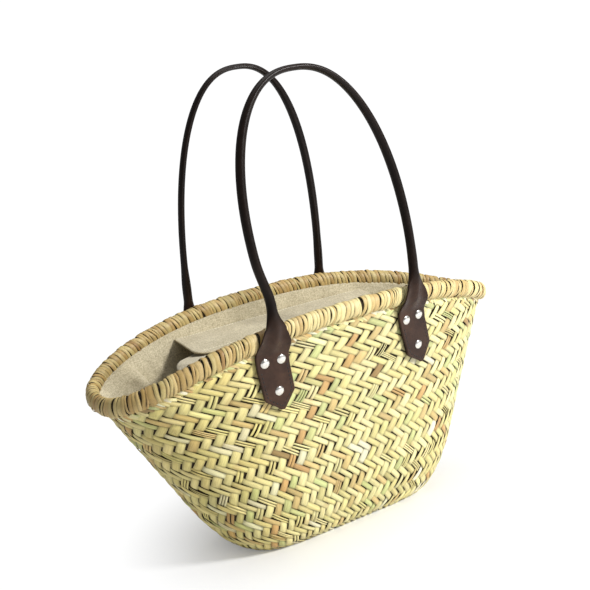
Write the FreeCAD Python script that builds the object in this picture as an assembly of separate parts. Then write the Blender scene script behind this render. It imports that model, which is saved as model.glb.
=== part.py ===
import FreeCAD, Part
import math
import os

os.makedirs("parts", exist_ok=True)

# Woven market basket: origin on the floor under the middle of the base, +X along the mouth to the
# pinched end, +Y to the back face, +Z up. Millimetres.

# Woven body: every level is a rounded oblong whose ends and faces have their own fullness.
BASE_HALF_LENGTH = 129.4
BASE_HALF_DEPTH = 57.9
SIDE_FLARE = 0.546           # half length gained for each unit of height
FACE_FLARE = 0.1224          # half depth gained for each unit of height
HEEL_HEIGHT = 58.8           # the wall is rounded under to the floor below this height
HEEL_INSET = 20.4
BASE_END_POWER = 0.337
BASE_FACE_POWER = 1.086
LEFT_END_POWER = 0.563
LEFT_FACE_POWER = 0.718
RIGHT_END_POWER = 0.912
RIGHT_FACE_POWER = 1.284
WALL = 4.0
HEEL_THICKENING = 0.8

# Mouth and rim roll: the rim droops from its middle to both ends.
RIM_HEIGHT = 237.4
MOUTH_HALF_LENGTH = 235.0
RIM_DROOP = 44.3
DROOP_POWER = 2.43
RIM_HALF_WIDTH = 6.5
RIM_HALF_HEIGHT = 9.0
RIM_CORE_HALF_WIDTH = 4.0
RIM_CORE_HALF_HEIGHT = 6.4
RIM_CORE_GAP = 0.15
WALL_TOP_DROP = 10.0         # the wall stops this far under the rim's centre line

# Canvas lining, standing off the wall by the room that the rivet backs need.
LINING_DEPTH = 7.0
LINING = 1.0
LINING_FLOOR = 5.0
LINING_TOP_DROP = 11.5
SIDE_SEAM_GAP = 0.3

# Closing flaps, sewn to the lining along straight seams; the back flap lies on the front one.
FLAP = 1.4
BACK_SEAM_HEIGHT = 216.0
FRONT_SEAM_HEIGHT = 212.0
SEAM_STANDOFF = 1.4          # seam to the lining's inner face
FLAP_EDGE_GAP = 0.9          # flap edge to hinge line
BAND_EDGE_GAP = 1.3          # sewn band edge to hinge line
BAND_CLEARANCE = 0.4
BAND_BLANK = 60.0
BACK_FLAP_LEFT = -117.0
BACK_FLAP_RIGHT = 120.0
BACK_FLAP_REACH = 57.0
BACK_FLAP_SAG = 7.6
BACK_FLAP_CORNER = 14.0
FRONT_FLAP_LEFT = -160.0
FRONT_FLAP_RIGHT = 146.0
FRONT_FLAP_REACH = 112.0
FRONT_FLAP_SAG = 9.2
FRONT_FLAP_TIP_LEFT = -104.0
FRONT_FLAP_TIP_RIGHT = 92.0
FRONT_FLAP_SWELL = (0.22, 0.62)  # share of the side's taper, and of the reach, at the side arc's middle

# Leather handles: a round roll on each face, flattened into a riveted tab at both ends.
ROLL_RADIUS = 5.0
CORE_RADIUS = 2.6
CORE_GAP = 0.1
NECK_X = 83.5
NECK_RISE = 9.0              # neck centre above the rim's centre line
NECK_STANDOFF = 10.2         # neck centre outside the rim's centre line
ARCH = {
    "front": {"rise": 235.0, "half_width": 99.7, "fullness": 2.39, "pinch": 0.86, "lean": 5.4, "skew": -9.0},
    "back": {"rise": 246.2, "half_width": 86.8, "fullness": 2.42, "pinch": 0.79, "lean": 5.2, "skew": 9.0},
}
ARCH_STATIONS = 14
ARCH_END_TURN = 0.004
STRAIGHT_SHARE = 1e-4        # flatter than this, an arc of the path is a straight line
CORD_GAP = 0.3               # the cord stops this far above the neck centres

# Tabs: the outer leather runs up over the rim to the neck, the liner stays on the wall.
TAB_HALF_WIDTH = 18.0
TAB_LENGTH = 84.0            # neck centre to point
TAB_LEATHER = 2.0
LINER_LEATHER = 1.6
TAB_GAP = 0.25
NECK_HALF_WIDTH = 6.5
NECK_CUT = 5.4               # the tab's leather stops this far under the neck centre
NECK_FLARE = (12.5, 0.18)    # drop under the neck centre, and share of the way out to full width
NECK_SWELL = (18.0, 0.59)
NECK_ROUND = (22.5, 0.93)
SHOULDER_DROP = 28.0
CORNER_DROP = 69.0
CORNER_TAPER = 1.0           # the sides draw in by this from shoulder to corner
CORNER_LIFT = 0.4            # an inset outline's corner moves up by this for each unit of margin
POINT_HALF_WIDTH = 3.0
POINT_ROUNDING = 1.2
RIM_CLEARANCE = 0.5
RIM_BEND_INNER = -3.5        # local heights where the leather leaves the rim and meets the wall
RIM_BEND_OUTER = -2.6
WALL_BEND = -16.5
BLANK_FOOT = -80.0
BLANK_MARGIN = 2.0
BLANK_DEPTH = 60.0
LINER_TOP_DROP = 25.5
LINER_MARGIN = 0.5
TAB_STACK = 2.0 * TAB_GAP + LINER_LEATHER + TAB_LEATHER

# Rivets and stitching.
RIVET_PAIR_DROP = 33.0
RIVET_PAIR_OFFSET = 9.0
RIVET_LOW_DROP = 64.0
CAP_RADIUS = 4.9
CAP_HEIGHT = 1.7
CAP_EDGE = 0.5               # height of the cap's upright edge, under its dome
CAP_GAP = 0.05
POST_RADIUS = 1.5
POST_TAIL = 0.9              # the post reaches this far past the wall's inner face
HOLE_RADIUS = 1.6
HOLE_REACH = 15.0
BACK_CAP_RADIUS = 4.4
BACK_CAP_HEIGHT = 1.3
STITCH_LENGTH = 2.6
STITCH_PITCH = 3.9
STITCH_THICK = 0.5
STITCH_INSET = 3.6
STITCH_TOP_DROP = 39.0
STITCH_GAP = 0.06

WALL_LEVELS = [0.0, 0.7, 2.5, 6.0, 12.0, 21.0, 34.0, 58.8, 90.0, 130.0, 170.0, 210.0, 245.0]
SECTION_POINTS = 44
RIM_STATIONS = 40
RIM_SECTION_POINTS = 16
END_CROWDING = 0.2
TANGENT_STEP = 0.002
BLANK_REACH = 300.0
UP = FreeCAD.Vector(0, 0, 1)


def heel(z):
    """How far round the heel a height is: 0 on the floor, 1 where the wall is straight."""
    return min(max(z / HEEL_HEIGHT, 0.0), 1.0)


def inset(z):
    rounding = 1.0 - heel(z)
    return HEEL_INSET * (1.0 - math.sqrt(1.0 - rounding * rounding))


def half_length(z, depth=0.0):
    thick = depth * (1.0 + HEEL_THICKENING * (1.0 - heel(z)) ** 2)
    return BASE_HALF_LENGTH + SIDE_FLARE * z - inset(z) - thick


def half_depth(z, depth=0.0):
    thick = depth * (1.0 + HEEL_THICKENING * (1.0 - heel(z)) ** 2)
    return BASE_HALF_DEPTH + FACE_FLARE * z - inset(z) - thick


def wall_y(x, z, depth=0.0):
    """Distance of the wall from the long middle plane, at a depth inside its outer surface."""
    end_power = RIGHT_END_POWER if x > 0 else LEFT_END_POWER
    face_power = RIGHT_FACE_POWER if x > 0 else LEFT_FACE_POWER
    climb = min(max(z / RIM_HEIGHT, 0.0), 1.0)
    end = BASE_END_POWER + (end_power - BASE_END_POWER) * climb
    face = BASE_FACE_POWER + (face_power - BASE_FACE_POWER) * climb
    ratio = min(abs(x) / half_length(z, depth), 1.0)
    return half_depth(z, depth) * (1.0 - ratio ** (2.0 / end)) ** (face / 2.0)


def body_point(turn, z, depth=0.0):
    x = half_length(z, depth) * math.cos(turn)
    return FreeCAD.Vector(x, math.copysign(wall_y(x, z, depth), math.sin(turn)), z)


def rim_height(x):
    return RIM_HEIGHT - RIM_DROOP * (abs(x) / MOUTH_HALF_LENGTH) ** DROOP_POWER


def rim_point(turn):
    z = RIM_HEIGHT
    for _ in range(30):
        z = 0.5 * (z + rim_height(half_length(z) * math.cos(turn)))
    return body_point(turn, z)


def level_wire(z, depth):
    turns = [2.0 * math.pi * i / SECTION_POINTS for i in range(SECTION_POINTS)]
    curve = Part.BSplineCurve()
    knots = [float(i) for i in range(SECTION_POINTS + 1)]
    curve.interpolate(Points=[body_point(t, z, depth) for t in turns], PeriodicFlag=True, Parameters=knots)
    return Part.Wire([curve.toShape()])


def filled_body(depth, floor):
    """The body filled in, from a floor height up, at a depth inside its outer surface."""
    levels = [floor] + [z for z in WALL_LEVELS if z > floor + 0.5]
    return Part.makeLoft([level_wire(z, depth) for z in levels], True, False)


def below_rim(drop):
    """Everything lower than the rim's centre line by the given drop."""
    stations = [BLANK_REACH * (i / 16.0 - 1.0) for i in range(33)]
    edge = Part.BSplineCurve()
    edge.interpolate([FreeCAD.Vector(x, -BLANK_REACH, rim_height(x) - drop) for x in stations])
    floor_left = FreeCAD.Vector(-BLANK_REACH, -BLANK_REACH, -BLANK_REACH)
    floor_right = FreeCAD.Vector(BLANK_REACH, -BLANK_REACH, -BLANK_REACH)
    sides = [
        edge.toShape(),
        Part.makeLine(edge.EndPoint, floor_right),
        Part.makeLine(floor_right, floor_left),
        Part.makeLine(floor_left, edge.StartPoint),
    ]
    return Part.Face(Part.Wire(sides)).extrude(FreeCAD.Vector(0, 2.0 * BLANK_REACH, 0))


def rim_section(turn, half_width, half_height):
    centre = rim_point(turn)
    along = (rim_point(turn + TANGENT_STEP) - rim_point(turn - TANGENT_STEP)).normalize()
    upright = (UP - along * UP.dot(along)).normalize()
    across = along.cross(upright)
    points = []
    for i in range(RIM_SECTION_POINTS):
        angle = 2.0 * math.pi * i / RIM_SECTION_POINTS
        offset = across * (half_width * math.cos(angle))
        points.append(centre + offset + upright * (half_height * math.sin(angle)))
    half = RIM_SECTION_POINTS // 2
    top = Part.BSplineCurve()
    top.interpolate(Points=points[:half + 1], InitialTangent=upright, FinalTangent=-upright)
    bottom = Part.BSplineCurve()
    bottom.interpolate(Points=points[half:] + points[:1], InitialTangent=-upright, FinalTangent=upright)
    return Part.Wire([top.toShape(), bottom.toShape()])


def half_ring(half_width, half_height):
    sections = []
    for i in range(RIM_STATIONS + 1):
        share = i / RIM_STATIONS
        turn = -math.pi * share + END_CROWDING * math.sin(2.0 * math.pi * share)
        sections.append(rim_section(turn, half_width, half_height))
    return Part.makeLoft(sections, True, True)


def mirrored(shape):
    return shape.mirror(FreeCAD.Vector(0, 0, 0), FreeCAD.Vector(0, 1, 0))


def whole_ring(half):
    return half.fuse(mirrored(half))


def box_between(low, high):
    size = [high[i] - low[i] for i in range(3)]
    return Part.makeBox(size[0], size[1], size[2], FreeCAD.Vector(*low))


def tab_yaw(side):
    """Turn about the vertical, in degrees, that lays a tab along the wall; side is -1 or 1."""
    x = side * NECK_X
    reach = 0.67 * TAB_HALF_WIDTH
    low = rim_height(x) - 0.5 * TAB_LENGTH
    slope = (wall_y(x + reach, low) - wall_y(x - reach, low)) / (2.0 * reach)
    return math.degrees(math.atan(-slope))


def yawed_frame(side):
    """Placement at a tab: local x along the wall, y straight out from it, z up."""
    x = side * NECK_X
    rim = rim_height(x)
    place = FreeCAD.Placement()
    place.Base = FreeCAD.Vector(x, -wall_y(x, rim), rim)
    # The half turn makes local +Y point out of the front face.
    place.Rotation = FreeCAD.Rotation(UP, 180.0 + tab_yaw(side))
    return place


def wall_outward(side, height):
    """How far the wall stands out past the rim's centre line at a local height under a tab."""
    x = side * NECK_X
    rim = rim_height(x)
    return (wall_y(x, rim + height) - wall_y(x, rim)) * math.cos(math.radians(tab_yaw(side)))


def tab_slope(side):
    """Slope and offset of the straight line that rests on the wall under a tab."""
    high = WALL_BEND
    low = NECK_RISE - TAB_LENGTH
    slope = (wall_outward(side, high) - wall_outward(side, low)) / (high - low)
    offset = max(wall_outward(side, h) - slope * h for h in (high, 0.5 * (high + low), low))
    return slope, offset


def strip(points, half_width):
    """A closed outline in the local y-z plane, extruded across the tab's width."""
    corners = [FreeCAD.Vector(-half_width, y, z) for y, z in points]
    face = Part.Face(Part.makePolygon(corners + corners[:1]))
    return face.extrude(FreeCAD.Vector(2.0 * half_width, 0, 0))


def tab_outline(margin, top):
    """Spade outline in local x-z, from the neck down to the point; margin shrinks it all round."""
    half = TAB_HALF_WIDTH - margin
    neck = NECK_HALF_WIDTH - margin
    base = NECK_RISE

    def widening(drop, share):
        return FreeCAD.Vector(neck + share * (half - neck), 0, base - drop)

    a = widening(top, 0.0)
    b = widening(*NECK_FLARE)
    c = widening(*NECK_SWELL)
    d = widening(*NECK_ROUND)
    e = widening(SHOULDER_DROP, 1.0)
    f = FreeCAD.Vector(half - CORNER_TAPER, 0, base - CORNER_DROP + CORNER_LIFT * margin)
    g = FreeCAD.Vector(POINT_HALF_WIDTH, 0, base - TAB_LENGTH + POINT_ROUNDING + margin)
    tip = FreeCAD.Vector(0, 0, base - TAB_LENGTH + margin)
    flip = [FreeCAD.Vector(-v.x, 0, v.z) for v in (a, b, c, d, e, f, g)]
    edges = [
        Part.Arc(a, b, c).toShape(),
        Part.Arc(c, d, e).toShape(),
        Part.makeLine(e, f),
        Part.makeLine(f, g),
        Part.Arc(g, tip, flip[6]).toShape(),
        Part.makeLine(flip[6], flip[5]),
        Part.makeLine(flip[5], flip[4]),
        Part.Arc(flip[4], flip[3], flip[2]).toShape(),
        Part.Arc(flip[2], flip[1], flip[0]).toShape(),
        Part.makeLine(flip[0], a),
    ]
    face = Part.Face(Part.Wire(edges))
    face.translate(FreeCAD.Vector(0, -BLANK_DEPTH, 0))
    return face.extrude(FreeCAD.Vector(0, 2.0 * BLANK_DEPTH, 0))


def on_wall(side, height, outward):
    """Local y of a face that stands off the wall under a tab."""
    slope, offset = tab_slope(side)
    return slope * height + offset + outward


def tab_leather(side):
    """Outer tab: over the rim roll, down to the wall and along it."""
    top = NECK_RISE - NECK_CUT
    inner = TAB_GAP + LINER_LEATHER + TAB_GAP
    outer = inner + TAB_LEATHER
    clear = RIM_HALF_WIDTH + RIM_CLEARANCE
    points = [
        (clear, top),
        (clear, RIM_BEND_INNER),
        (on_wall(side, WALL_BEND, inner), WALL_BEND),
        (on_wall(side, BLANK_FOOT, inner), BLANK_FOOT),
        (on_wall(side, BLANK_FOOT, outer), BLANK_FOOT),
        (on_wall(side, WALL_BEND, outer), WALL_BEND),
        (clear + TAB_LEATHER, RIM_BEND_OUTER),
        (clear + TAB_LEATHER, top),
    ]
    return strip(points, TAB_HALF_WIDTH + BLANK_MARGIN).common(tab_outline(0.0, NECK_CUT))


def tab_liner(side):
    """Liner leather between the outer tab and the wall, cut a little smaller."""
    top = NECK_RISE - LINER_TOP_DROP
    outer = TAB_GAP + LINER_LEATHER
    points = [
        (on_wall(side, top, TAB_GAP), top),
        (on_wall(side, BLANK_FOOT, TAB_GAP), BLANK_FOOT),
        (on_wall(side, BLANK_FOOT, outer), BLANK_FOOT),
        (on_wall(side, top, outer), top),
    ]
    return strip(points, TAB_HALF_WIDTH + BLANK_MARGIN).common(tab_outline(LINER_MARGIN, NECK_CUT))


def rivet_places():
    base = NECK_RISE
    return [
        (-RIVET_PAIR_OFFSET, base - RIVET_PAIR_DROP),
        (RIVET_PAIR_OFFSET, base - RIVET_PAIR_DROP),
        (0.0, base - RIVET_LOW_DROP),
    ]


def rivet_axis(side):
    slope, _ = tab_slope(side)
    return FreeCAD.Vector(0, 1.0, -slope).normalize()


def rivet_cylinder(side, x, height, radius, start, length):
    """A cylinder on a rivet's axis; start is measured outward from the wall's surface."""
    axis = rivet_axis(side)
    foot = FreeCAD.Vector(x, on_wall(side, height, 0.0), height) + axis * start
    return Part.makeCylinder(radius, length, foot, axis)


def rivet_cap(side, x, height):
    """Domed outer cap: a slice of a ball on a short rim."""
    seat = TAB_STACK + CAP_GAP
    axis = rivet_axis(side)
    foot = FreeCAD.Vector(x, on_wall(side, height, 0.0), height) + axis * (seat + CAP_EDGE)
    rise = CAP_HEIGHT - CAP_EDGE
    ball = (CAP_RADIUS ** 2 + rise ** 2) / (2.0 * rise)
    dome = Part.makeSphere(ball, foot - axis * (ball - rise))
    slab = Part.makeCylinder(CAP_RADIUS, CAP_HEIGHT, foot, axis)
    rim = Part.makeCylinder(CAP_RADIUS, CAP_EDGE, foot - axis * CAP_EDGE, axis)
    return rim.fuse(dome.common(slab)).removeSplitter()


def rivet_post(side, x, height):
    back = WALL + POST_TAIL
    return rivet_cylinder(side, x, height, POST_RADIUS, -back, back + TAB_STACK)


def rivet_back(side, x, height):
    start = -(WALL + POST_TAIL + CAP_GAP + BACK_CAP_HEIGHT)
    return rivet_cylinder(side, x, height, BACK_CAP_RADIUS, start, BACK_CAP_HEIGHT)


def rivet_holes(side):
    places = rivet_places()
    holes = [rivet_cylinder(side, x, h, HOLE_RADIUS, -HOLE_REACH, 2.0 * HOLE_REACH) for x, h in places]
    return Part.makeCompound(holes)


def stitch_line():
    """Corners of the seam round the lower tab, from one side of the rivet pair to the other."""
    half = TAB_HALF_WIDTH - STITCH_INSET
    base = NECK_RISE
    right = [
        (half, base - STITCH_TOP_DROP),
        (half - 0.8 * CORNER_TAPER, base - CORNER_DROP + CORNER_LIFT * STITCH_INSET),
        (0.4 * POINT_HALF_WIDTH, base - TAB_LENGTH + 1.15 * STITCH_INSET),
    ]
    return right + [(-x, z) for x, z in reversed(right)]


def stitches(side):
    outward = TAB_STACK + STITCH_GAP
    slope, _ = tab_slope(side)
    tilt = FreeCAD.Rotation(FreeCAD.Vector(1, 0, 0), -math.degrees(math.atan(slope)))
    corners = stitch_line()
    thread = []
    for (x0, z0), (x1, z1) in zip(corners, corners[1:]):
        length = math.hypot(x1 - x0, z1 - z0)
        count = int(length / STITCH_PITCH)
        for i in range(count):
            share = (i + 0.5) / count
            x = x0 + (x1 - x0) * share
            z = z0 + (z1 - z0) * share
            stitch = Part.makeBox(STITCH_LENGTH, STITCH_THICK, STITCH_THICK)
            stitch.translate(FreeCAD.Vector(-0.5 * STITCH_LENGTH, 0, -0.5 * STITCH_THICK))
            turn = -math.degrees(math.atan2(z1 - z0, x1 - x0))
            spin = FreeCAD.Rotation(FreeCAD.Vector(0, 1, 0), turn)
            seat = FreeCAD.Vector(x, on_wall(side, z, outward), z)
            stitch.Placement = FreeCAD.Placement(seat, tilt.multiply(spin)).multiply(stitch.Placement)
            thread.append(stitch)
    return Part.makeCompound(thread)


def placed(shape, side, face):
    """Move a local tab shape to the front or back face."""
    moved = shape.copy()
    moved.Placement = yawed_frame(side).multiply(moved.Placement)
    return moved if face == "front" else mirrored(moved)


def neck_centre(side):
    local = FreeCAD.Vector(0, NECK_STANDOFF, NECK_RISE)
    return yawed_frame(side).multVec(local)


def arch_local(turn, shape):
    """Arch centre line in its own plane: distance along the neck axis, and height."""
    neck_half = 0.5 * (neck_centre(1) - neck_centre(-1)).Length
    power = 2.0 / shape["fullness"]
    height = shape["rise"] * math.sin(turn) ** power if 0.0 < turn < math.pi else 0.0
    run = math.copysign(shape["half_width"] * abs(math.cos(turn)) ** power, math.cos(turn))
    low = max(1.0 - height / (shape["pinch"] * shape["rise"]), 0.0)
    run -= math.copysign((shape["half_width"] - neck_half) * low * low, math.cos(turn))
    return run + shape["skew"] * height / shape["rise"], height


def arch_point(turn, shape):
    left = neck_centre(-1)
    right = neck_centre(1)
    along = (right - left).normalize()
    inward = UP.cross(along).normalize()
    lean = math.radians(shape["lean"])
    rise = UP * math.cos(lean) + inward * math.sin(lean)
    run, height = arch_local(turn, shape)
    return (left + right) * 0.5 + along * run + rise * height


def arc_or_line(start, corner, end):
    """An arc from start to end, tangent to the lines through their common corner."""
    middle = (start + end) * 0.5
    half = (end - start).Length * 0.5
    rise = (corner - middle).Length
    if rise < STRAIGHT_SHARE * half:
        return Part.makeLine(start, end)
    angle = math.atan2(rise, half)
    crest = middle + (corner - middle) * (math.tan(0.5 * angle) / math.tan(angle))
    return Part.Arc(start, crest, end).toShape()


def tangent_pair(start, out, end, into):
    """Two arcs that leave start along out and reach end along into."""
    span = end - start
    turn = out + into
    slack = 2.0 * (1.0 - out.dot(into))
    reach = span.dot(turn)
    length = (math.sqrt(reach * reach + slack * span.dot(span)) - reach) / slack
    first = start + out * length
    second = end - into * length
    joint = (first + second) * 0.5
    return [arc_or_line(start, first, joint), arc_or_line(joint, second, end)]


def arch_path(shape):
    turns = [math.pi * i / ARCH_STATIONS for i in range(ARCH_STATIONS + 1)]
    turns[0] = ARCH_END_TURN
    turns[-1] = math.pi - ARCH_END_TURN
    points = [arch_point(t, shape) for t in turns]
    ways = []
    for turn in turns:
        ahead = arch_point(turn + TANGENT_STEP, shape)
        ways.append((ahead - arch_point(turn - TANGENT_STEP, shape)).normalize())
    edges = []
    for i in range(ARCH_STATIONS):
        edges += tangent_pair(points[i], ways[i], points[i + 1], ways[i + 1])
    return Part.Wire(edges), points, ways


def roll(path, points, ways, radius):
    section = Part.Wire([Part.Circle(points[0], ways[0], radius).toShape()])
    return path.makePipeShell([section], True, False)


def build_handle(face):
    """Rolled leather with its cord core, hung between the two necks of one face."""
    shape = ARCH[face]
    path, points, ways = arch_path(shape)
    leather = roll(path, points, ways, ROLL_RADIUS)
    for end in (points[0], points[-1]):
        leather = leather.fuse(Part.makeSphere(ROLL_RADIUS, end))
    leather = leather.cut(roll(path, points, ways, CORE_RADIUS + CORE_GAP))
    floor = max(points[0].z, points[-1].z) + CORD_GAP
    above = box_between((-BLANK_REACH, -BLANK_REACH, floor), (BLANK_REACH, BLANK_REACH, 2.0 * BLANK_REACH))
    cord = roll(path, points, ways, CORE_RADIUS).common(above)
    if face == "back":
        leather = mirrored(leather)
        cord = mirrored(cord)
    save("handle_roll_" + face, leather)
    save("handle_core_" + face, cord)


def save(node, shape):
    solids = shape.Solids
    if not solids or not all(s.isValid() and s.isClosed() for s in solids):
        print("CHECK", node, len(solids), [s.isValid() for s in solids])
    body = solids[0] if len(solids) == 1 else Part.makeCompound(solids)
    body.exportStep("parts/" + node + ".step")
    box = body.BoundBox
    volume = sum(s.Volume for s in solids) / 1000.0
    sizes = (box.XMin, box.XMax, box.YMin, box.YMax, box.ZMin, box.ZMax)
    print("%-26s %3d solids %8.2f cm3" % (node, len(solids), volume), ["%.1f" % size for size in sizes])


def build_shell():
    shell = filled_body(0.0, 0.0).cut(filled_body(WALL, WALL))
    shell = shell.common(below_rim(WALL_TOP_DROP))
    for side in (-1, 1):
        for face in ("front", "back"):
            shell = shell.cut(placed(rivet_holes(side), side, face))
    save("basket_shell", shell)


def build_rim():
    outer = half_ring(RIM_HALF_WIDTH, RIM_HALF_HEIGHT)
    void = half_ring(RIM_CORE_HALF_WIDTH + RIM_CORE_GAP, RIM_CORE_HALF_HEIGHT + RIM_CORE_GAP)
    core = half_ring(RIM_CORE_HALF_WIDTH, RIM_CORE_HALF_HEIGHT)
    save("rim_wrap", whole_ring(outer.cut(void)))
    save("rim_core", whole_ring(core))


def build_lining():
    outer = filled_body(LINING_DEPTH, LINING_FLOOR + LINING + BAND_CLEARANCE)
    inner = filled_body(LINING_DEPTH + LINING, LINING_FLOOR + LINING)
    cup = outer.cut(inner).common(below_rim(LINING_TOP_DROP))
    front = box_between((-BLANK_REACH, -BLANK_REACH, 0), (BLANK_REACH, -0.5 * SIDE_SEAM_GAP, BLANK_REACH))
    panel = cup.common(front)
    save("lining_front", panel)
    save("lining_back", mirrored(panel))
    base = Part.Face(level_wire(LINING_FLOOR, LINING_DEPTH + 0.5 * LINING))
    save("lining_base", base.extrude(FreeCAD.Vector(0, 0, LINING)))


def seam_end(x, height):
    return FreeCAD.Vector(x, wall_y(x, height, LINING_DEPTH + LINING + SEAM_STANDOFF), height)


def seam_frame(left, right, height, sag, reach):
    """Placement on a back seam: local x along it, local y into the mouth, tilted down by the sag."""
    start = seam_end(left, height)
    end = seam_end(right, height)
    along = (end - start).normalize()
    yaw = math.degrees(math.atan2(along.y, along.x))
    flat = FreeCAD.Rotation(UP, yaw)
    tilt = FreeCAD.Rotation(FreeCAD.Vector(1, 0, 0), math.degrees(math.asin(sag / reach)))
    return FreeCAD.Placement(start, flat.multiply(tilt)), (end - start).Length


def build_back_flap():
    edges = (BACK_FLAP_LEFT, BACK_FLAP_RIGHT, BACK_SEAM_HEIGHT)
    place, length = seam_frame(*edges, BACK_FLAP_SAG, BACK_FLAP_REACH)
    radius = BACK_FLAP_CORNER
    low = -0.5 * FLAP
    plate = box_between((0, -BACK_FLAP_REACH, low), (length, -FLAP_EDGE_GAP, low + FLAP))
    corners = [e for e in plate.Edges if e.BoundBox.ZLength > 0.5 * FLAP and e.BoundBox.YMax < -radius]
    plate = plate.makeFillet(radius, corners)
    plate.Placement = place
    save("closing_flap_back", plate)


def build_front_flap():
    edges = (FRONT_FLAP_LEFT, FRONT_FLAP_RIGHT, FRONT_SEAM_HEIGHT)
    place, length = seam_frame(*edges, FRONT_FLAP_SAG, FRONT_FLAP_REACH)
    tip_left = FRONT_FLAP_TIP_LEFT - FRONT_FLAP_LEFT
    tip_right = length - (FRONT_FLAP_RIGHT - FRONT_FLAP_TIP_RIGHT)
    deep = -FRONT_FLAP_REACH
    low = -0.5 * FLAP
    taper, level = FRONT_FLAP_SWELL
    a = FreeCAD.Vector(0, -FLAP_EDGE_GAP, low)
    b = FreeCAD.Vector(taper * tip_left, level * deep, low)
    c = FreeCAD.Vector(tip_left, deep, low)
    d = FreeCAD.Vector(tip_right, deep, low)
    e = FreeCAD.Vector(length - taper * (length - tip_right), level * deep, low)
    f = FreeCAD.Vector(length, -FLAP_EDGE_GAP, low)
    left = Part.Arc(a, b, c).toShape()
    right = Part.Arc(d, e, f).toShape()
    outline = Part.Wire([left, Part.makeLine(c, d), right, Part.makeLine(f, a)])
    plate = Part.Face(outline).extrude(FreeCAD.Vector(0, 0, FLAP))
    plate.Placement = place
    save("closing_flap_front", mirrored(plate))


def build_seam_band(node, left, right, height, flip):
    """Sewn band that carries a flap's straight hinge line off the curved lining."""
    place, length = seam_frame(left, right, height, 0.0, 1.0)
    slab = box_between((0, BAND_EDGE_GAP, -0.5 * FLAP), (length, BAND_BLANK, 0.5 * FLAP))
    slab.Placement = place
    band = slab.common(filled_body(LINING_DEPTH + LINING + BAND_CLEARANCE, LINING_FLOOR))
    save(node, mirrored(band) if flip else band)


def build_tabs():
    body = filled_body(0.0, 0.0)
    for face in ("front", "back"):
        for side, word in ((-1, "left"), (1, "right")):
            name = face + "_" + word
            holes = rivet_holes(side)
            save("tab_" + name, placed(tab_leather(side).cut(holes), side, face))
            liner = placed(tab_liner(side).cut(holes), side, face)
            save("tab_liner_" + name, liner.cut(body))
            makers = {"rivet_caps_": rivet_cap, "rivet_posts_": rivet_post, "rivet_backs_": rivet_back}
            for prefix, maker in makers.items():
                group = Part.makeCompound([maker(side, x, h) for x, h in rivet_places()])
                save(prefix + name, placed(group, side, face))
            save("tab_thread_" + name, placed(stitches(side), side, face))


build_shell()
build_rim()
build_lining()
build_back_flap()
build_front_flap()
build_seam_band("seam_band_back", BACK_FLAP_LEFT, BACK_FLAP_RIGHT, BACK_SEAM_HEIGHT, False)
build_seam_band("seam_band_front", FRONT_FLAP_LEFT, FRONT_FLAP_RIGHT, FRONT_SEAM_HEIGHT, True)
build_handle("front")
build_handle("back")
build_tabs()
print("necks", neck_centre(-1), neck_centre(1))
for x in (BACK_FLAP_LEFT, BACK_FLAP_RIGHT):
    print("back seam end", seam_end(x, BACK_SEAM_HEIGHT))
for x in (FRONT_FLAP_LEFT, FRONT_FLAP_RIGHT):
    print("front seam end", seam_end(x, FRONT_SEAM_HEIGHT))
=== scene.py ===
import math

import bpy
import numpy as np
from mathutils import Matrix, Vector


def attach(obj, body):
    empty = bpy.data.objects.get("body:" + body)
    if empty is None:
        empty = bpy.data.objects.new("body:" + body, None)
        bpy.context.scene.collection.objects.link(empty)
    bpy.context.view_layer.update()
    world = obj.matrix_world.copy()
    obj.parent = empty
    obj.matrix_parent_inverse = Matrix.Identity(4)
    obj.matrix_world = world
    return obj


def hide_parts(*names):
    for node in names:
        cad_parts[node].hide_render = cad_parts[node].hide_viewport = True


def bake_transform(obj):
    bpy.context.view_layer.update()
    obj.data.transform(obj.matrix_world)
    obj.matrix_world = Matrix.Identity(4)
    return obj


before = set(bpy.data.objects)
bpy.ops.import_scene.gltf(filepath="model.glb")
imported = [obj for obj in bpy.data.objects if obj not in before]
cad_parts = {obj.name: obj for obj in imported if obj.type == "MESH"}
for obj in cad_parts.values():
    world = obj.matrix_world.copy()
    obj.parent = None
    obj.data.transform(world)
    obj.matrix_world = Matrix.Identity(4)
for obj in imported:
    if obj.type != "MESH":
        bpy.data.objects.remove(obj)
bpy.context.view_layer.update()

RNG = np.random.default_rng(11)

# ---------------------------------------------------------------- driving dimensions, metres
# The woven body: the same section rule as the CAD body.
BASE_HALF_LENGTH = 0.1294
BASE_HALF_DEPTH = 0.0579
SIDE_FLARE = 0.546
FACE_FLARE = 0.1224
HEEL_HEIGHT = 0.0588
HEEL_INSET = 0.0204
BASE_POWERS = (0.337, 1.086)     # end and face roundness of the section
LEFT_POWERS = (0.563, 0.718)
RIGHT_POWERS = (0.912, 1.284)
HEEL_THICKENING = 0.8
RIM_HEIGHT = 0.2374
MOUTH_HALF_LENGTH = 0.235
RIM_DROOP = 0.0443
DROOP_POWER = 2.43
RIM_HALF_WIDTH = 0.0065
RIM_HALF_HEIGHT = 0.0090
TABLE_TOP = 0.252                # height that the table of the body's surface reaches
TABLE_AROUND = 960

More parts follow.
